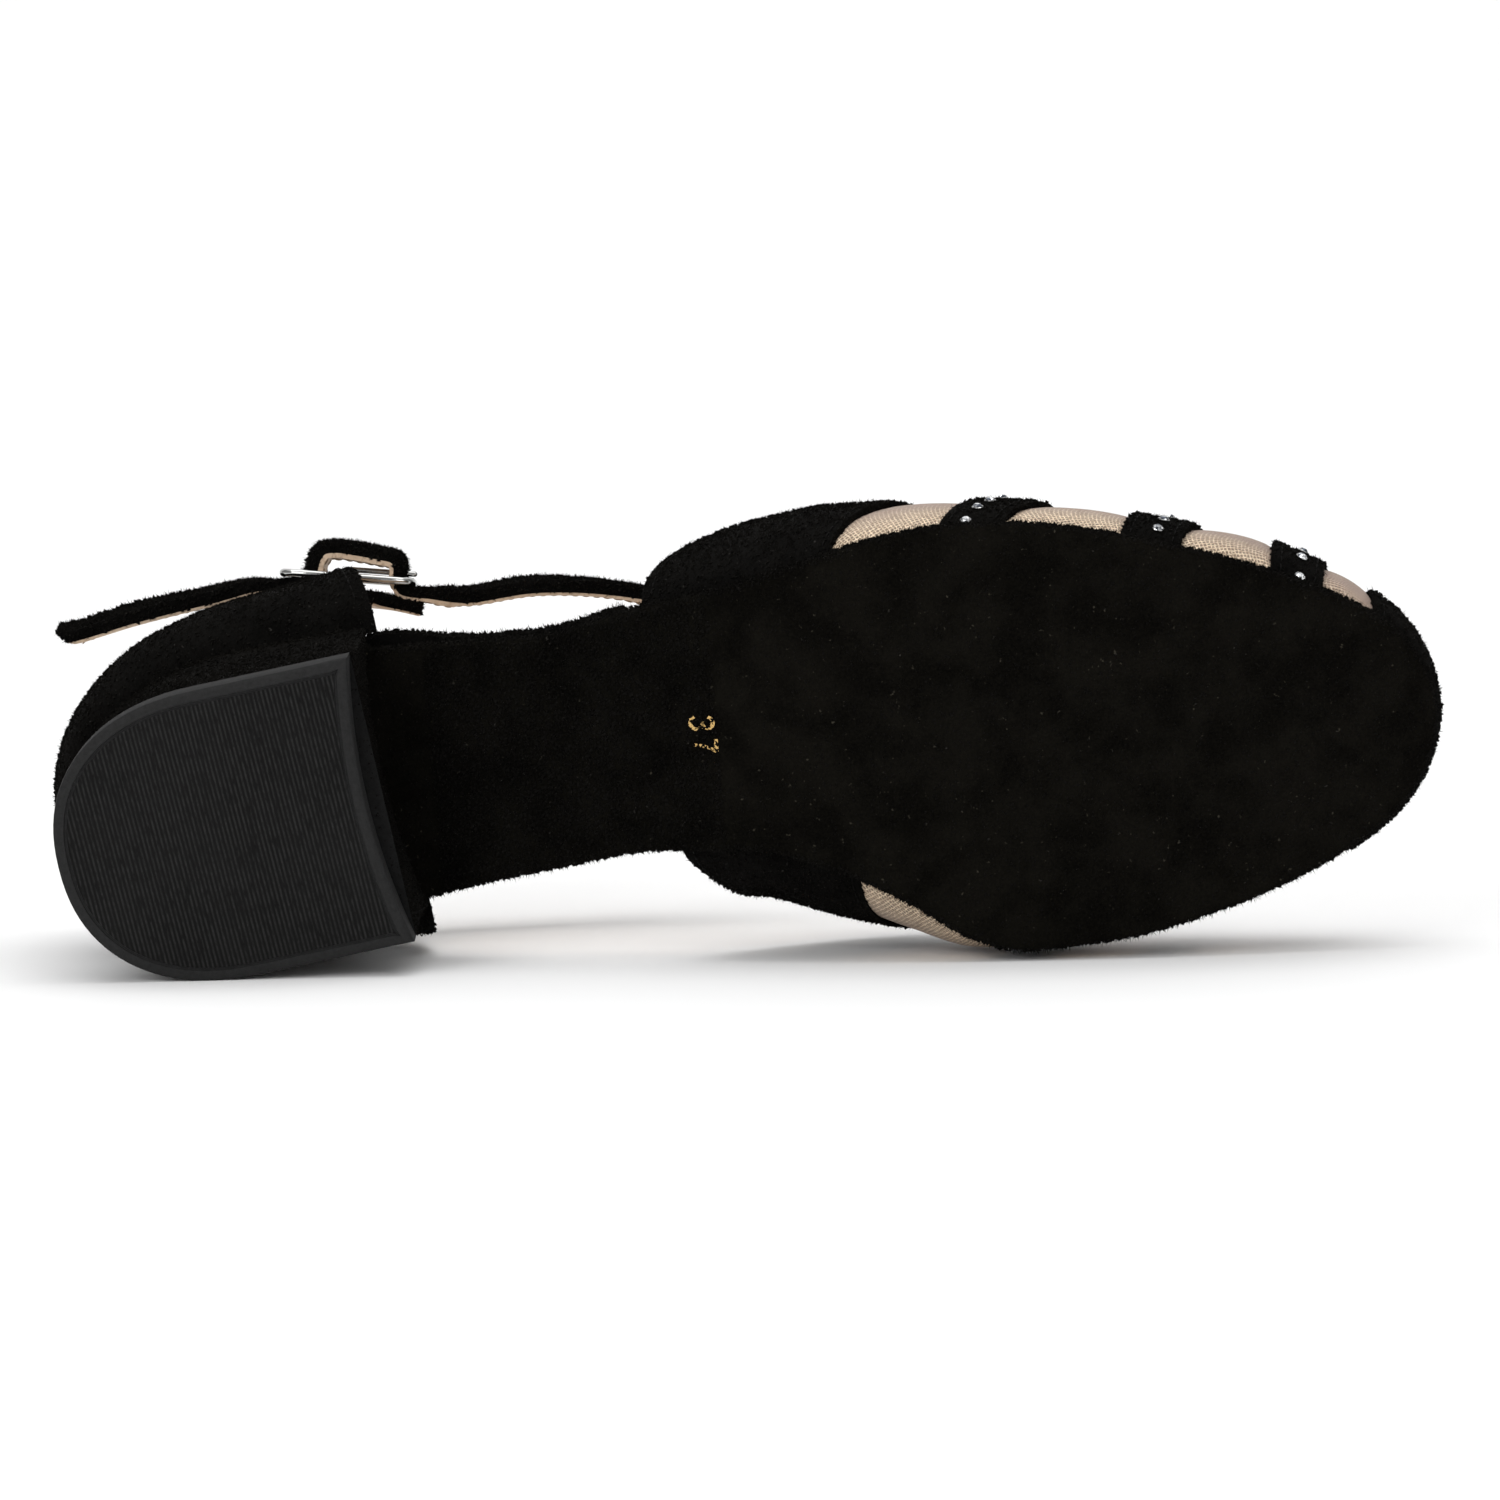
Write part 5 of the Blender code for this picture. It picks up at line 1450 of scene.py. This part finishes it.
def make_insole():
    """The board with its sock; its free edges in the waist are wrapped in suede."""
    back = SEAT_LINE[:, 0].min() + COUNTER_WALL + 2 * GAP + 0.1 * MM
    front = SOLE_LENGTH - FEATHER_INSET - VAMP_WALL - 2 * GAP - 0.1 * MM
    stations = spread_stations(back, front, 130, 0.02 * MM)
    levels = [(lambda x, share=share: foot_level(x) + BOARD_THICKNESS * share, inset)
              for share, inset in SOCK_LEVELS]
    made = sole_slab("insole_sock", stations, board_edge, levels, SLAB_COLUMNS,
                     [FINISH["lining"], FINISH["suede"]], {"top": 0, "bottom": 1, "edge": 1})
    return settle(made, "beige_lining", "insole")


def inset_loop(loop, distance):
    """A closed loop in plan moved inwards."""
    first = unit(loop - np.roll(loop, 1, axis=0))
    second = unit(np.roll(loop, -1, axis=0) - loop)
    square = np.stack([first[:, 1] + second[:, 1], -first[:, 0] - second[:, 0]], axis=1)
    size = np.linalg.norm(square, axis=1)[:, None]
    square = square / size * np.minimum(2 / size, 1.35)
    return loop + square * distance


def make_heel():
    """The suede-covered block and its rubber top piece with a grooved rim."""
    seat_in = 0.6 * MM
    low = d_outline(0.0, HEEL_BACK_ROUND, HEEL_WIDTH / 2, HEEL_SQUARENESS, HEEL_LENGTH)
    high = d_outline(seat_in - SEAT_BACK_OUT, SEAT_BACK_ROUND, SEAT_WIDTH / 2 - seat_in, 2.0, SEAT_LENGTH)
    bottom = TOP_PIECE_THICKNESS + GAP
    loops = []
    for share in (0.0, 0.015, 0.05, 0.12, 0.2, 0.3, 0.4, 0.5, 0.6, 0.7, 0.8, 0.9, 1.0):
        waist = HEEL_WAIST_IN * math.sin(math.pi * share)
        tucked = 0.5 * MM if share == 0.0 else 0.0
        shrink = 1 - (waist + tucked) / (HEEL_WIDTH / 2)
        side = [(u0 + (u1 - u0) * share, (v0 + (v1 - v0) * share) * shrink)
                for (u0, v0), (u1, v1) in zip(low, high)]
        loop = heel_loop(side, BREAST_HOLLOW)
        top = underside(loop[:, 0]) - GAP
        loops.append([(p[0], p[1], bottom + share * (z - bottom)) for p, z in zip(loop, top)])
    block = loft("heel_cover", loops, [FINISH["suede"]], sharp=50)
    plan = heel_loop(low, BREAST_HOLLOW)
    loops = [[(x, y, TOP_PIECE_THICKNESS) for x, y in plan]]
    for inset, z in TIP_RIM:
        loop = inset_loop(plan, inset) if inset else plan
        loops.append([(x, y, z) for x, y in loop])
    field, centre = np.array(loops[-1]), np.mean(loops[-1], axis=0)
    loops += [centre + (field - centre) * share for share in TIP_FIELD]
    places = [0] * len(TIP_RIM) + [1] * (len(TIP_FIELD) + 1)
    tip = loft("heel_tip", loops, [FINISH["rubber"], FINISH["ribs"]], places=places, sharp=35)
    settle(tip, "charcoal_rubber", "top_piece")
    return settle(block, "black_suede", "heel_block")


def make_counter():
    """The heel cup of suede over its lining."""
    share = np.linspace(0, 1, 141)[None, :]
    h = (np.linspace(0, 1, 37)[:, None]) ** 1.15
    lifts = (0.0, COUNTER_SUEDE - COUNTER_WALL, -COUNTER_WALL)
    layers = [counter_point(share, h, lift) for lift in lifts]
    layers[0] = softened(layers[0], *COUNTER_UNEVEN)
    made = wall("heel_cup", layers, [FINISH["suede"]] * 3 + [FINISH["lining"]],
                round_edge=COUNTER_ROUND, turned_in=(4, 2))
    return settle(made, "black_suede", "counter")


def skived(t):
    """The suede is pared down towards the feather, where it goes under the sole."""
    outer, *at_outer = OUTER_SKIVE
    inner, *at_inner = INNER_SKIVE
    return 1 - outer * (1 - smooth_step(t, *at_outer)) - inner * smooth_step(t, *at_inner)


def make_forepart():
    """The net over its lining, from the throat to the toe."""
    lines = [THROAT, WING_FRONT]
    for rear, front in BANDS:
        lines += [rear, front]
    lines += [TOE_CAP_REAR, toe_tip]
    rows = (16, 8, 6, 10, 6, 10, 6, 8, 20)
    outer, inner = [], []
    for k, (rear, front) in enumerate(zip(lines, lines[1:])):
        puff = NET_PUFF * (k % 2)

        def lift(share, t, puff=puff):
            return puff * np.sin(math.pi * share) ** 0.6 * np.sin(math.pi * t) ** 0.25

        keep = slice(0, None) if k == len(lines) - 2 else slice(0, -1)
        outer.append(forepart_grid(rear, front, rows[k], lift)[keep])
        inner.append(forepart_grid(rear, front, rows[k], -VAMP_WALL)[keep])
    layers = [np.concatenate(outer), np.concatenate(inner)]
    made = wall("forepart_net", layers, [FINISH["net"]] + [FINISH["lining"]] * 2, closed_end=True)
    return settle(made, "beige_net", "vamp")


def make_overlays():
    """The suede pieces sewn over the net: wings, three bands and the toe cap."""
    pieces = [("side_wings", "vamp_wings", THROAT, WING_FRONT, 26)]
    for place, (rear, front) in zip(("rear", "middle", "front"), BANDS):
        pieces.append(("band_" + place, "forefoot_strap_" + place, rear, front, 8))
    pieces.append(("toe_cap_suede", "toe_cap", TOE_CAP_REAR, toe_tip, 30))
    amount, size, seed = OVERLAY_UNEVEN
    made = []
    for k, (name, node_name, rear, front, rows) in enumerate(pieces):
        at_toe = front is toe_tip
        top = forepart_grid(rear, front, rows, lambda share, t: GAP + OVERLAY_THICKNESS * skived(t))
        low = forepart_grid(rear, front, rows, OVERLAY_LIFT)
        if not at_toe:
            top = softened(top, amount, size, seed + k)
        piece = wall(name, [top, low], [FINISH["suede"]] * 3, closed_end=at_toe,
                     round_edge=OVERLAY_ROUND)
        made.append(settle(piece, "black_suede", node_name))
    return made


def strap_path(fine):
    """The instep strap's path, width directions and the rows with the prong's hole."""
    sewn, rises = sewn_inside(STRAP_SEWN, INSTEP_STRAP_THICKNESS)
    free = [on_route(row) for row in INSTEP_ROUTE]
    arch = [at_buckle(*row) for row in BUCKLE_ROUTE]
    tail = [on_route(row) for row in TAIL_ROUTE]
    steps = [2] * len(sewn) + [3] * len(free) + [2] * (len(arch) - 1) + [3] * len(tail)
    steps = [s * fine for s in steps]
    path = through(sewn + free + arch + tail, steps)
    first = sum(steps[: len(sewn) + len(free) + HOLE_STRETCH[0]])
    last = sum(steps[: len(sewn) + len(free) + HOLE_STRETCH[1]])
    return path, width_directions(path, rises, 2 * fine), (first, last)


def strap_layers():
    """Layers of the strap, from its suede face to its lining, and the rows with the prong's hole.

    The suede stands fuller where nothing holds it down, and the free end is cut on a slant.
    """
    path, across, hole_rows = strap_path(4)
    hole = STRAP_HOLE / INSTEP_STRAP_WIDTH / 2
    columns = (-0.5, -0.44, -0.36, -0.2, -hole, hole, 0.2, 0.36, 0.44, 0.5)
    half = INSTEP_STRAP_THICKNESS / 2
    run = unit(np.gradient(path, axis=0))
    steps = np.linalg.norm(np.diff(path[::-1], axis=0), axis=1)
    from_end = np.concatenate([[0.0], np.cumsum(steps)])[::-1]
    for i in range(len(path)):
        twist = 1 - smooth_step(from_end[i], *TAIL_TWISTS)
        across[i] = np.asarray(across[i]) + np.array([0.0, -TAIL_TWIST * twist, 0.0])
    levels = (half, half - LINING_SHARE, -half)
    inner, middle, outer = ribbon_layers(path, across, INSTEP_STRAP_WIDTH, levels, columns)
    along = buckle_axes()[0]
    ends = [np.array(BUCKLE_CENTRE) + along * BUCKLE_LENGTH / 2 * k for k in (-1, 1)]
    for i, point in enumerate(path):
        away = min(np.linalg.norm(point - end) for end in ends)
        free = smooth_step(away, *FREE_OF_FRAME)
        free *= smooth_step(from_end[0] - from_end[i], *FREE_OF_COUNTER)
        face = unit(outer[i] - inner[i])
        swell = 0.3 + 0.7 * smooth_step(from_end[i], *FREE_OF_TIP)
        outer[i] += face * SUEDE_FULLNESS * free * swell
        if point[1] < -20 * MM and 30 * MM < point[0] < 70 * MM:
            inner[i] -= face * LINING_FULLNESS * free
        cut = 1 - smooth_step(from_end[i], 0.0, SLANTED_LENGTH)
        inner[i] -= run[i] * END_SLANT * cut
        middle[i] -= run[i] * END_SLANT * 0.6 * cut
        outer[i] += face * TIP_CURL * cut**4
    return [outer, middle, inner], hole_rows


def make_instep_strap():
    """The strap: suede outside, beige lining inside, sewn together along both edges."""
    layers, (first, last) = strap_layers()
    suede, lining = FINISH["suede"], FINISH["lining"]
    hole = [(i, 4) for i in range(first, last)]
    made = wall("strap_suede", [softened(layers[0], *STRAP_UNEVEN)] + layers[1:],
                [suede, suede, lining, lining], gaps=hole, round_edge=STRAP_ROUND, sharp=45)
    return settle(made, "black_suede", "instep_strap")


def tab_path(fine):
    """The tab's path and width directions."""
    sewn, rises = sewn_inside(TAB_SEWN, TAB_THICKNESS)
    path = through(sewn + [at_buckle(*row) for row in TAB_ROUTE], [2 * fine] * 6)
    return path, width_directions(path, rises, 2 * fine)


def make_tab():
    """The short tab that carries the buckle."""
    path, across = tab_path(4)
    half = TAB_THICKNESS / 2
    layers = ribbon_layers(path, across, TAB_WIDTH, (half, TAB_LINING - half, -half),
                           (-0.5, -0.4, -0.15, 0.15, 0.4, 0.5))
    layers[0] += (layers[0] - layers[2]) / TAB_THICKNESS * TAB_FULLNESS
    suede, lining = FINISH["suede"], FINISH["lining"]
    made = wall("tab_suede", layers, [suede, suede, lining, lining], round_edge=TAB_ROUND, sharp=45)
    return settle(made, "black_suede", "buckle_tab")


def make_buckle():
    """The polished frame with its bar, the prong and the hook."""
    along, up, out = buckle_axes()
    centre = np.array(BUCKLE_CENTRE)
    half_length = (BUCKLE_LENGTH - BUCKLE_WIRE) / 2
    half_height = (BUCKLE_HEIGHT - BUCKLE_WIRE) / 2
    power = 2 / BUCKLE_SQUARENESS
    ring = []
    for k in range(120):
        angle = 2 * math.pi * k / 120
        cos, sin = math.cos(angle), math.sin(angle)
        a = half_length * math.copysign(abs(cos) ** power, cos)
        b = half_height * math.copysign(abs(sin) ** power, sin)
        ring.append(centre + a * along + b * up)
    steel = [FINISH["steel"]]
    loops = tube_loops(ring, BUCKLE_WIRE / 2, 12, out, closed=True)
    outline = loft("buckle_frame_steel", loops, steel, cap=False, sharp=60)
    settle(outline, "polished_steel", "buckle_frame")
    ends = [centre - half_height * up, centre + half_height * up]
    bar = loft("buckle_bar_steel", tube_loops(ends, BAR_WIRE / 2, 14, out), steel, sharp=60)
    settle(bar, "polished_steel")

    radius = PRONG_WIRE / 2
    eye = BAR_WIRE / 2 + GAP + radius
    rest = BUCKLE_WIRE / 2 + GAP + radius
    turn = np.radians(np.linspace(-200, 90, 30))
    path = [centre + eye * (math.cos(a) * along + math.sin(a) * out) for a in turn]
    path += [centre + half_length * along * share + (eye + (rest - eye) * climb) * out
             for share, climb in PRONG_ROUTE]
    path.append(centre + (half_length + BUCKLE_WIRE * 0.3 - 0.3 * MM) * along + rest * out)
    loops = tube_loops(path, radius, 12, up, round_ends=True)
    prong = loft("buckle_prong_steel", loops, steel, sharp=60)
    settle(prong, "polished_steel", "buckle_prong")

    path = through([at_buckle(*row) for row in HOOK_ROUTE], [4, 4])
    half = HOOK_THICKNESS / 2
    layers = ribbon_layers(path, [up] * len(path), HOOK_WIDTH, (half, -half), (-0.5, -0.3, 0.0, 0.3, 0.5))
    hook = wall("buckle_hook_steel", layers, steel * 3, round_edge=HOOK_ROUND, sharp=50)
    settle(hook, "polished_steel", "buckle_hook")


def forepart_path(line, toward, inset, start=0.02, end=0.98, count=160):
    """A path over the forepart, a distance from an edge towards another line, with its facings."""
    t = np.linspace(start, end, count)
    theta = line(t)
    other = toward(t)
    here, there = vamp_point(theta, t), vamp_point(theta + (other - theta) * 0.05, t)
    step = np.linalg.norm(there - here, axis=1)
    theta = theta + (other - theta) * 0.05 * inset / np.maximum(step, 1e-6)
    return vamp_offset(theta, t, GAP + OVERLAY_THICKNESS * skived(t)), vamp_normal(theta, t)


def counter_path(shares, heights):
    """A path over the counter's outer face with its facings."""
    shares, heights = np.asarray(shares, float), np.asarray(heights, float)
    points = counter_point(shares, heights)
    ahead, behind = np.minimum(shares + 0.004, 1), np.maximum(shares - 0.004, 0)
    above, below = np.minimum(heights + 0.01, 1), np.maximum(heights - 0.01, 0.001)
    along = counter_point(ahead, heights) - counter_point(behind, heights)
    rise = counter_point(shares, above) - counter_point(shares, below)
    facing = unit(np.cross(along, rise))
    middle = np.array([30 * MM, 0.0, 55 * MM])
    if np.mean(np.sum(facing[:, :2] * (points - middle)[:, :2], axis=1)) < 0:
        facing = -facing
    return points, facing


def make_stitches():
    """Rows of stitches along the edges that are sewn down."""
    paths = []
    for rear, front in BANDS:
        paths.append(forepart_path(rear, front, STITCH_IN))
        paths.append(forepart_path(front, rear, STITCH_IN))
    paths.append(forepart_path(THROAT, WING_FRONT, STITCH_IN + 0.5 * MM))
    paths.append(forepart_path(WING_FRONT, THROAT, STITCH_IN))
    paths.append(forepart_path(TOE_CAP_REAR, toe_tip, STITCH_IN, 0.03, 0.97))
    shares = np.linspace(*TOP_STITCHES, 260)
    height = HEIGHTS(np.abs(2 * shares - 1)) * COUNTER_HEIGHT
    paths.append(counter_path(shares, 1 - TOP_STITCH_IN / height))
    heights = np.linspace(*FRONT_STITCHES, 70)
    for end in COUNTER_FRONTS:
        paths.append(counter_path(np.full(70, end), heights))
    layers = strap_layers()[0]
    sewn = slice(24, -6)
    lined = []
    for layer, other, rows in ((layers[0], layers[2], paths), (layers[2], layers[0], lined)):
        for column in (2, 7):
            rows.append((layer[sewn, column], unit(layer[sewn, column] - other[sewn, column])))
    tool = stitch_tool(STITCH_SPACING * STITCH_SHARE)
    for name, rows, finish, slot in (
        ("stitches", paths, "black_thread", "black_suede"),
        ("lining_stitches", lined, "beige_thread", "beige_lining"),
    ):
        row = grown(path_carrier(rows), REPEAT, {
            "Piece": tool, "Spacing": STITCH_SPACING, "Uneven": STITCH_SWING, "Seed": 5,
            "Finish": FINISH[finish],
        }, name)
        settle(row, slot)
    bpy.data.objects.remove(tool)


def make_stones():
    """One row of set stones along the middle of each band."""
    for name, tool, finish, lift in (
        ("stone_cups", cup_tool(STONE_WIDTH), FINISH["steel"], 0.0),
        ("stones", stone_tool(STONE_WIDTH), FINISH["stone"], STONE_LIFT),
    ):
        paths = []
        for (rear, front), (first, last, across) in zip(BANDS, STONE_ROWS):
            t = np.linspace(first, last, 200)
            theta = rear(t) + (front(t) - rear(t)) * across
            level = GAP + OVERLAY_THICKNESS * skived(t) + lift
            points, facings = vamp_offset(theta, t, level), vamp_normal(theta, t)
            clear = lay(points + facings * STONE_WIDTH * 0.4)[:, 2] > STONE_WIDTH * 0.3
            for part in np.split(np.arange(200), np.flatnonzero(np.diff(clear.astype(int))) + 1):
                if clear[part[0]] and len(part) > 2:
                    paths.append((points[part], facings[part]))
        made = grown(path_carrier(paths), REPEAT, {
            "Piece": tool, "Spacing": STONE_SPACING, "Uneven": 0.0, "Seed": 2, "Finish": finish,
        }, name)
        bpy.data.objects.remove(tool)
        made.data.shade_flat()
        settle(made, "polished_steel")


DIGITS = {
    "3": (((0.06, 0.80), (0.14, 0.93), (0.34, 1.0), (0.56, 0.96), (0.68, 0.83), (0.66, 0.66),
           (0.50, 0.55), (0.30, 0.53)),
          ((0.30, 0.53), (0.54, 0.51), (0.70, 0.39), (0.72, 0.22), (0.58, 0.06), (0.34, 0.0),
           (0.12, 0.06), (0.03, 0.20))),
    "7": (((0.02, 0.97), (0.70, 0.97)), ((0.70, 0.97), (0.52, 0.68), (0.38, 0.36), (0.32, 0.0))),
}


def make_number():
    """The size number in foil on the waist of the sole."""
    data = bmesh.new()
    strokes = [(start, stroke) for digit, start in DIGIT_PLACES.items() for stroke in DIGITS[digit]]
    for (x0, y0), stroke in strokes:
        path = through([(p[0], p[1], 0.0) for p in stroke], [6] * (len(stroke) - 1))[:, :2] * DIGIT_HEIGHT
        run = unit(np.gradient(path, axis=0))
        side = np.stack([-run[:, 1], run[:, 0]], axis=1)
        rails = []
        for sign in (-1, 1):
            for level in DIGIT_LEVELS:
                rail = []
                for p, s in zip(path, side):
                    across, ahead = p + s * (DIGIT_STROKE / 2) * sign
                    x, y = x0 + ahead, y0 + across * DIGIT_WIDTH_SHARE
                    rail.append(data.verts.new((x, y, float(underside(x)) - level)))
                rails.append(rail)
        left_low, left_high, right_low, right_high = rails
        for k in range(len(path) - 1):
            data.faces.new([left_low[k], left_low[k + 1], right_low[k + 1], right_low[k]])
            data.faces.new([left_high[k], right_high[k], right_high[k + 1], left_high[k + 1]])
            data.faces.new([left_low[k], left_high[k], left_high[k + 1], left_low[k + 1]])
            data.faces.new([right_low[k], right_low[k + 1], right_high[k + 1], right_high[k]])
        for k in (0, len(path) - 1):
            data.faces.new([left_low[k], right_low[k], right_high[k], left_high[k]])
    made = finish_mesh("size_number", data, [FINISH["foil"]], 50)
    return settle(made, "black_suede_sole")


def make_nap(name, sources, kinds, choose=None):
    """Tufts and hairs over suede pieces, so that their edges look soft.

    A kind is a number to the square millimetre, a length, a width and a seed.
    """
    together = bmesh.new()
    for source in sources:
        suede = {k for k, m in enumerate(source.data.materials) if m and "suede" in m.name}
        part = bmesh.new()
        part.from_mesh(source.data)
        bare = [f for f in part.faces if f.material_index not in suede or (choose and not choose(f))]
        bmesh.ops.delete(part, geom=bare, context="FACES")
        covered = plain_mesh("covered", part)
        together.from_mesh(covered)
        bpy.data.meshes.remove(covered)
    surface = plain_mesh("nap_surface", together)
    for kind, (number, length, width, seed) in zip(("_tufts", "_hairs"), kinds):
        piece = grown(in_scene("nap_carrier", surface.copy()), NAP, {
            "Per Square Metre": number / MM**2, "Length": length, "Width": width, "Seed": seed,
            "Finish": FINISH["nap"],
        }, name + kind)
        settle(piece, "black_suede")
    bpy.data.meshes.remove(surface)


def make_studio():
    """White floor that rises behind, and soft light."""
    data = bmesh.new()
    profile = [(FLOOR_FRONT, 0.0), (FLOOR_BACK, 0.0)]
    profile += [(FLOOR_BACK + FLOOR_ROUND * math.sin(a), FLOOR_ROUND - FLOOR_ROUND * math.cos(a))
                for a in np.linspace(0, math.pi / 2, 14)[1:]]
    profile.append((FLOOR_BACK + FLOOR_ROUND, FLOOR_TOP))
    rows = [[data.verts.new((x, y, z)) for y, z in profile] for x in (-FLOOR_SIDE, FLOOR_SIDE)]
    for k in range(len(profile) - 1):
        data.faces.new([rows[0][k], rows[1][k], rows[1][k + 1], rows[0][k + 1]])
    mesh = plain_mesh("studio_floor", data)
    mesh.materials.append(floor_finish())
    mesh.shade_smooth()
    in_scene("studio_floor", mesh)

    world = bpy.data.worlds.new("studio")
    world.use_nodes = True
    sky = world.node_tree.nodes["Background"].inputs
    sky[0].default_value, sky[1].default_value = (1.0, 1.0, 1.0, 1.0), SKY_STRENGTH
    bpy.context.scene.world = world
    bpy.context.scene.view_settings.view_transform = "Standard"
    for name, (place, size, power, at) in LIGHTS.items():
        light = bpy.data.lights.new(name, "AREA")
        light.shape, light.size, light.energy = "SQUARE", size, power
        lamp = in_scene(name, light)
        lamp.location = place
        lamp.rotation_mode = "QUATERNION"
        lamp.rotation_quaternion = (Vector(at) - Vector(place)).to_track_quat("-Z", "Y")


def make_camera():
    """The camera at the picture's angle, worked out about the standing shoe and laid down with it."""
    lift, swing, roll = (math.radians(a) for a in CAMERA_ANGLES)
    across, back = math.sin(swing), -math.cos(swing)
    away = np.array([across, back * math.sin(lift), back * math.cos(lift)])
    right = np.array([1.0, 0.0, 0.0])
    level = unit(right + away * np.dot(right, -away))
    upright = np.cross(level, -away)
    right = math.cos(roll) * level - math.sin(roll) * upright
    up = math.sin(roll) * level + math.cos(roll) * upright
    axes = [lay_direction(v) for v in (right, up, away)]
    camera = bpy.data.cameras.new("camera")
    camera.lens, camera.sensor_width = CAMERA_LENS, CAMERA_SENSOR
    camera.clip_start, camera.clip_end = 0.05, 20.0
    eye = in_scene("camera", camera)
    eye.rotation_mode = "QUATERNION"
    eye.rotation_quaternion = Matrix([[axes[c][r] for c in range(3)] for r in range(3)]).to_quaternion()
    eye.location = Vector(lay(np.array(CAMERA_TARGET) * MM + CAMERA_AWAY * away))
    bpy.context.scene.camera = eye


make_studio()
make_camera()
sole = make_sole()
insole = make_insole()
heel = make_heel()
counter = make_counter()
make_forepart()
overlays = make_overlays()
strap = make_instep_strap()
tab = make_tab()
make_buckle()
make_stitches()
make_stones()
make_number()
down = Vector(-TURN[:, 2])
number = Vector(lay([*NUMBER_CENTRE, float(underside(NUMBER_CENTRE[0]))]))
make_nap("sole_nap", [sole], SOLE_NAP, lambda face: (
    face.normal.dot(down) > 0.5 and (face.calc_center_median() - number).length > NUMBER_CLEARING))
make_nap("sole_edge_nap", [sole, insole], SOLE_EDGE_NAP,
         lambda face: -0.8 < face.normal.dot(down) < 0.95)
make_nap("heel_nap", [heel, counter], HEEL_NAP)
make_nap("overlay_nap", overlays, OVERLAY_NAP)
make_nap("strap_nap", [strap, tab], STRAP_NAP)
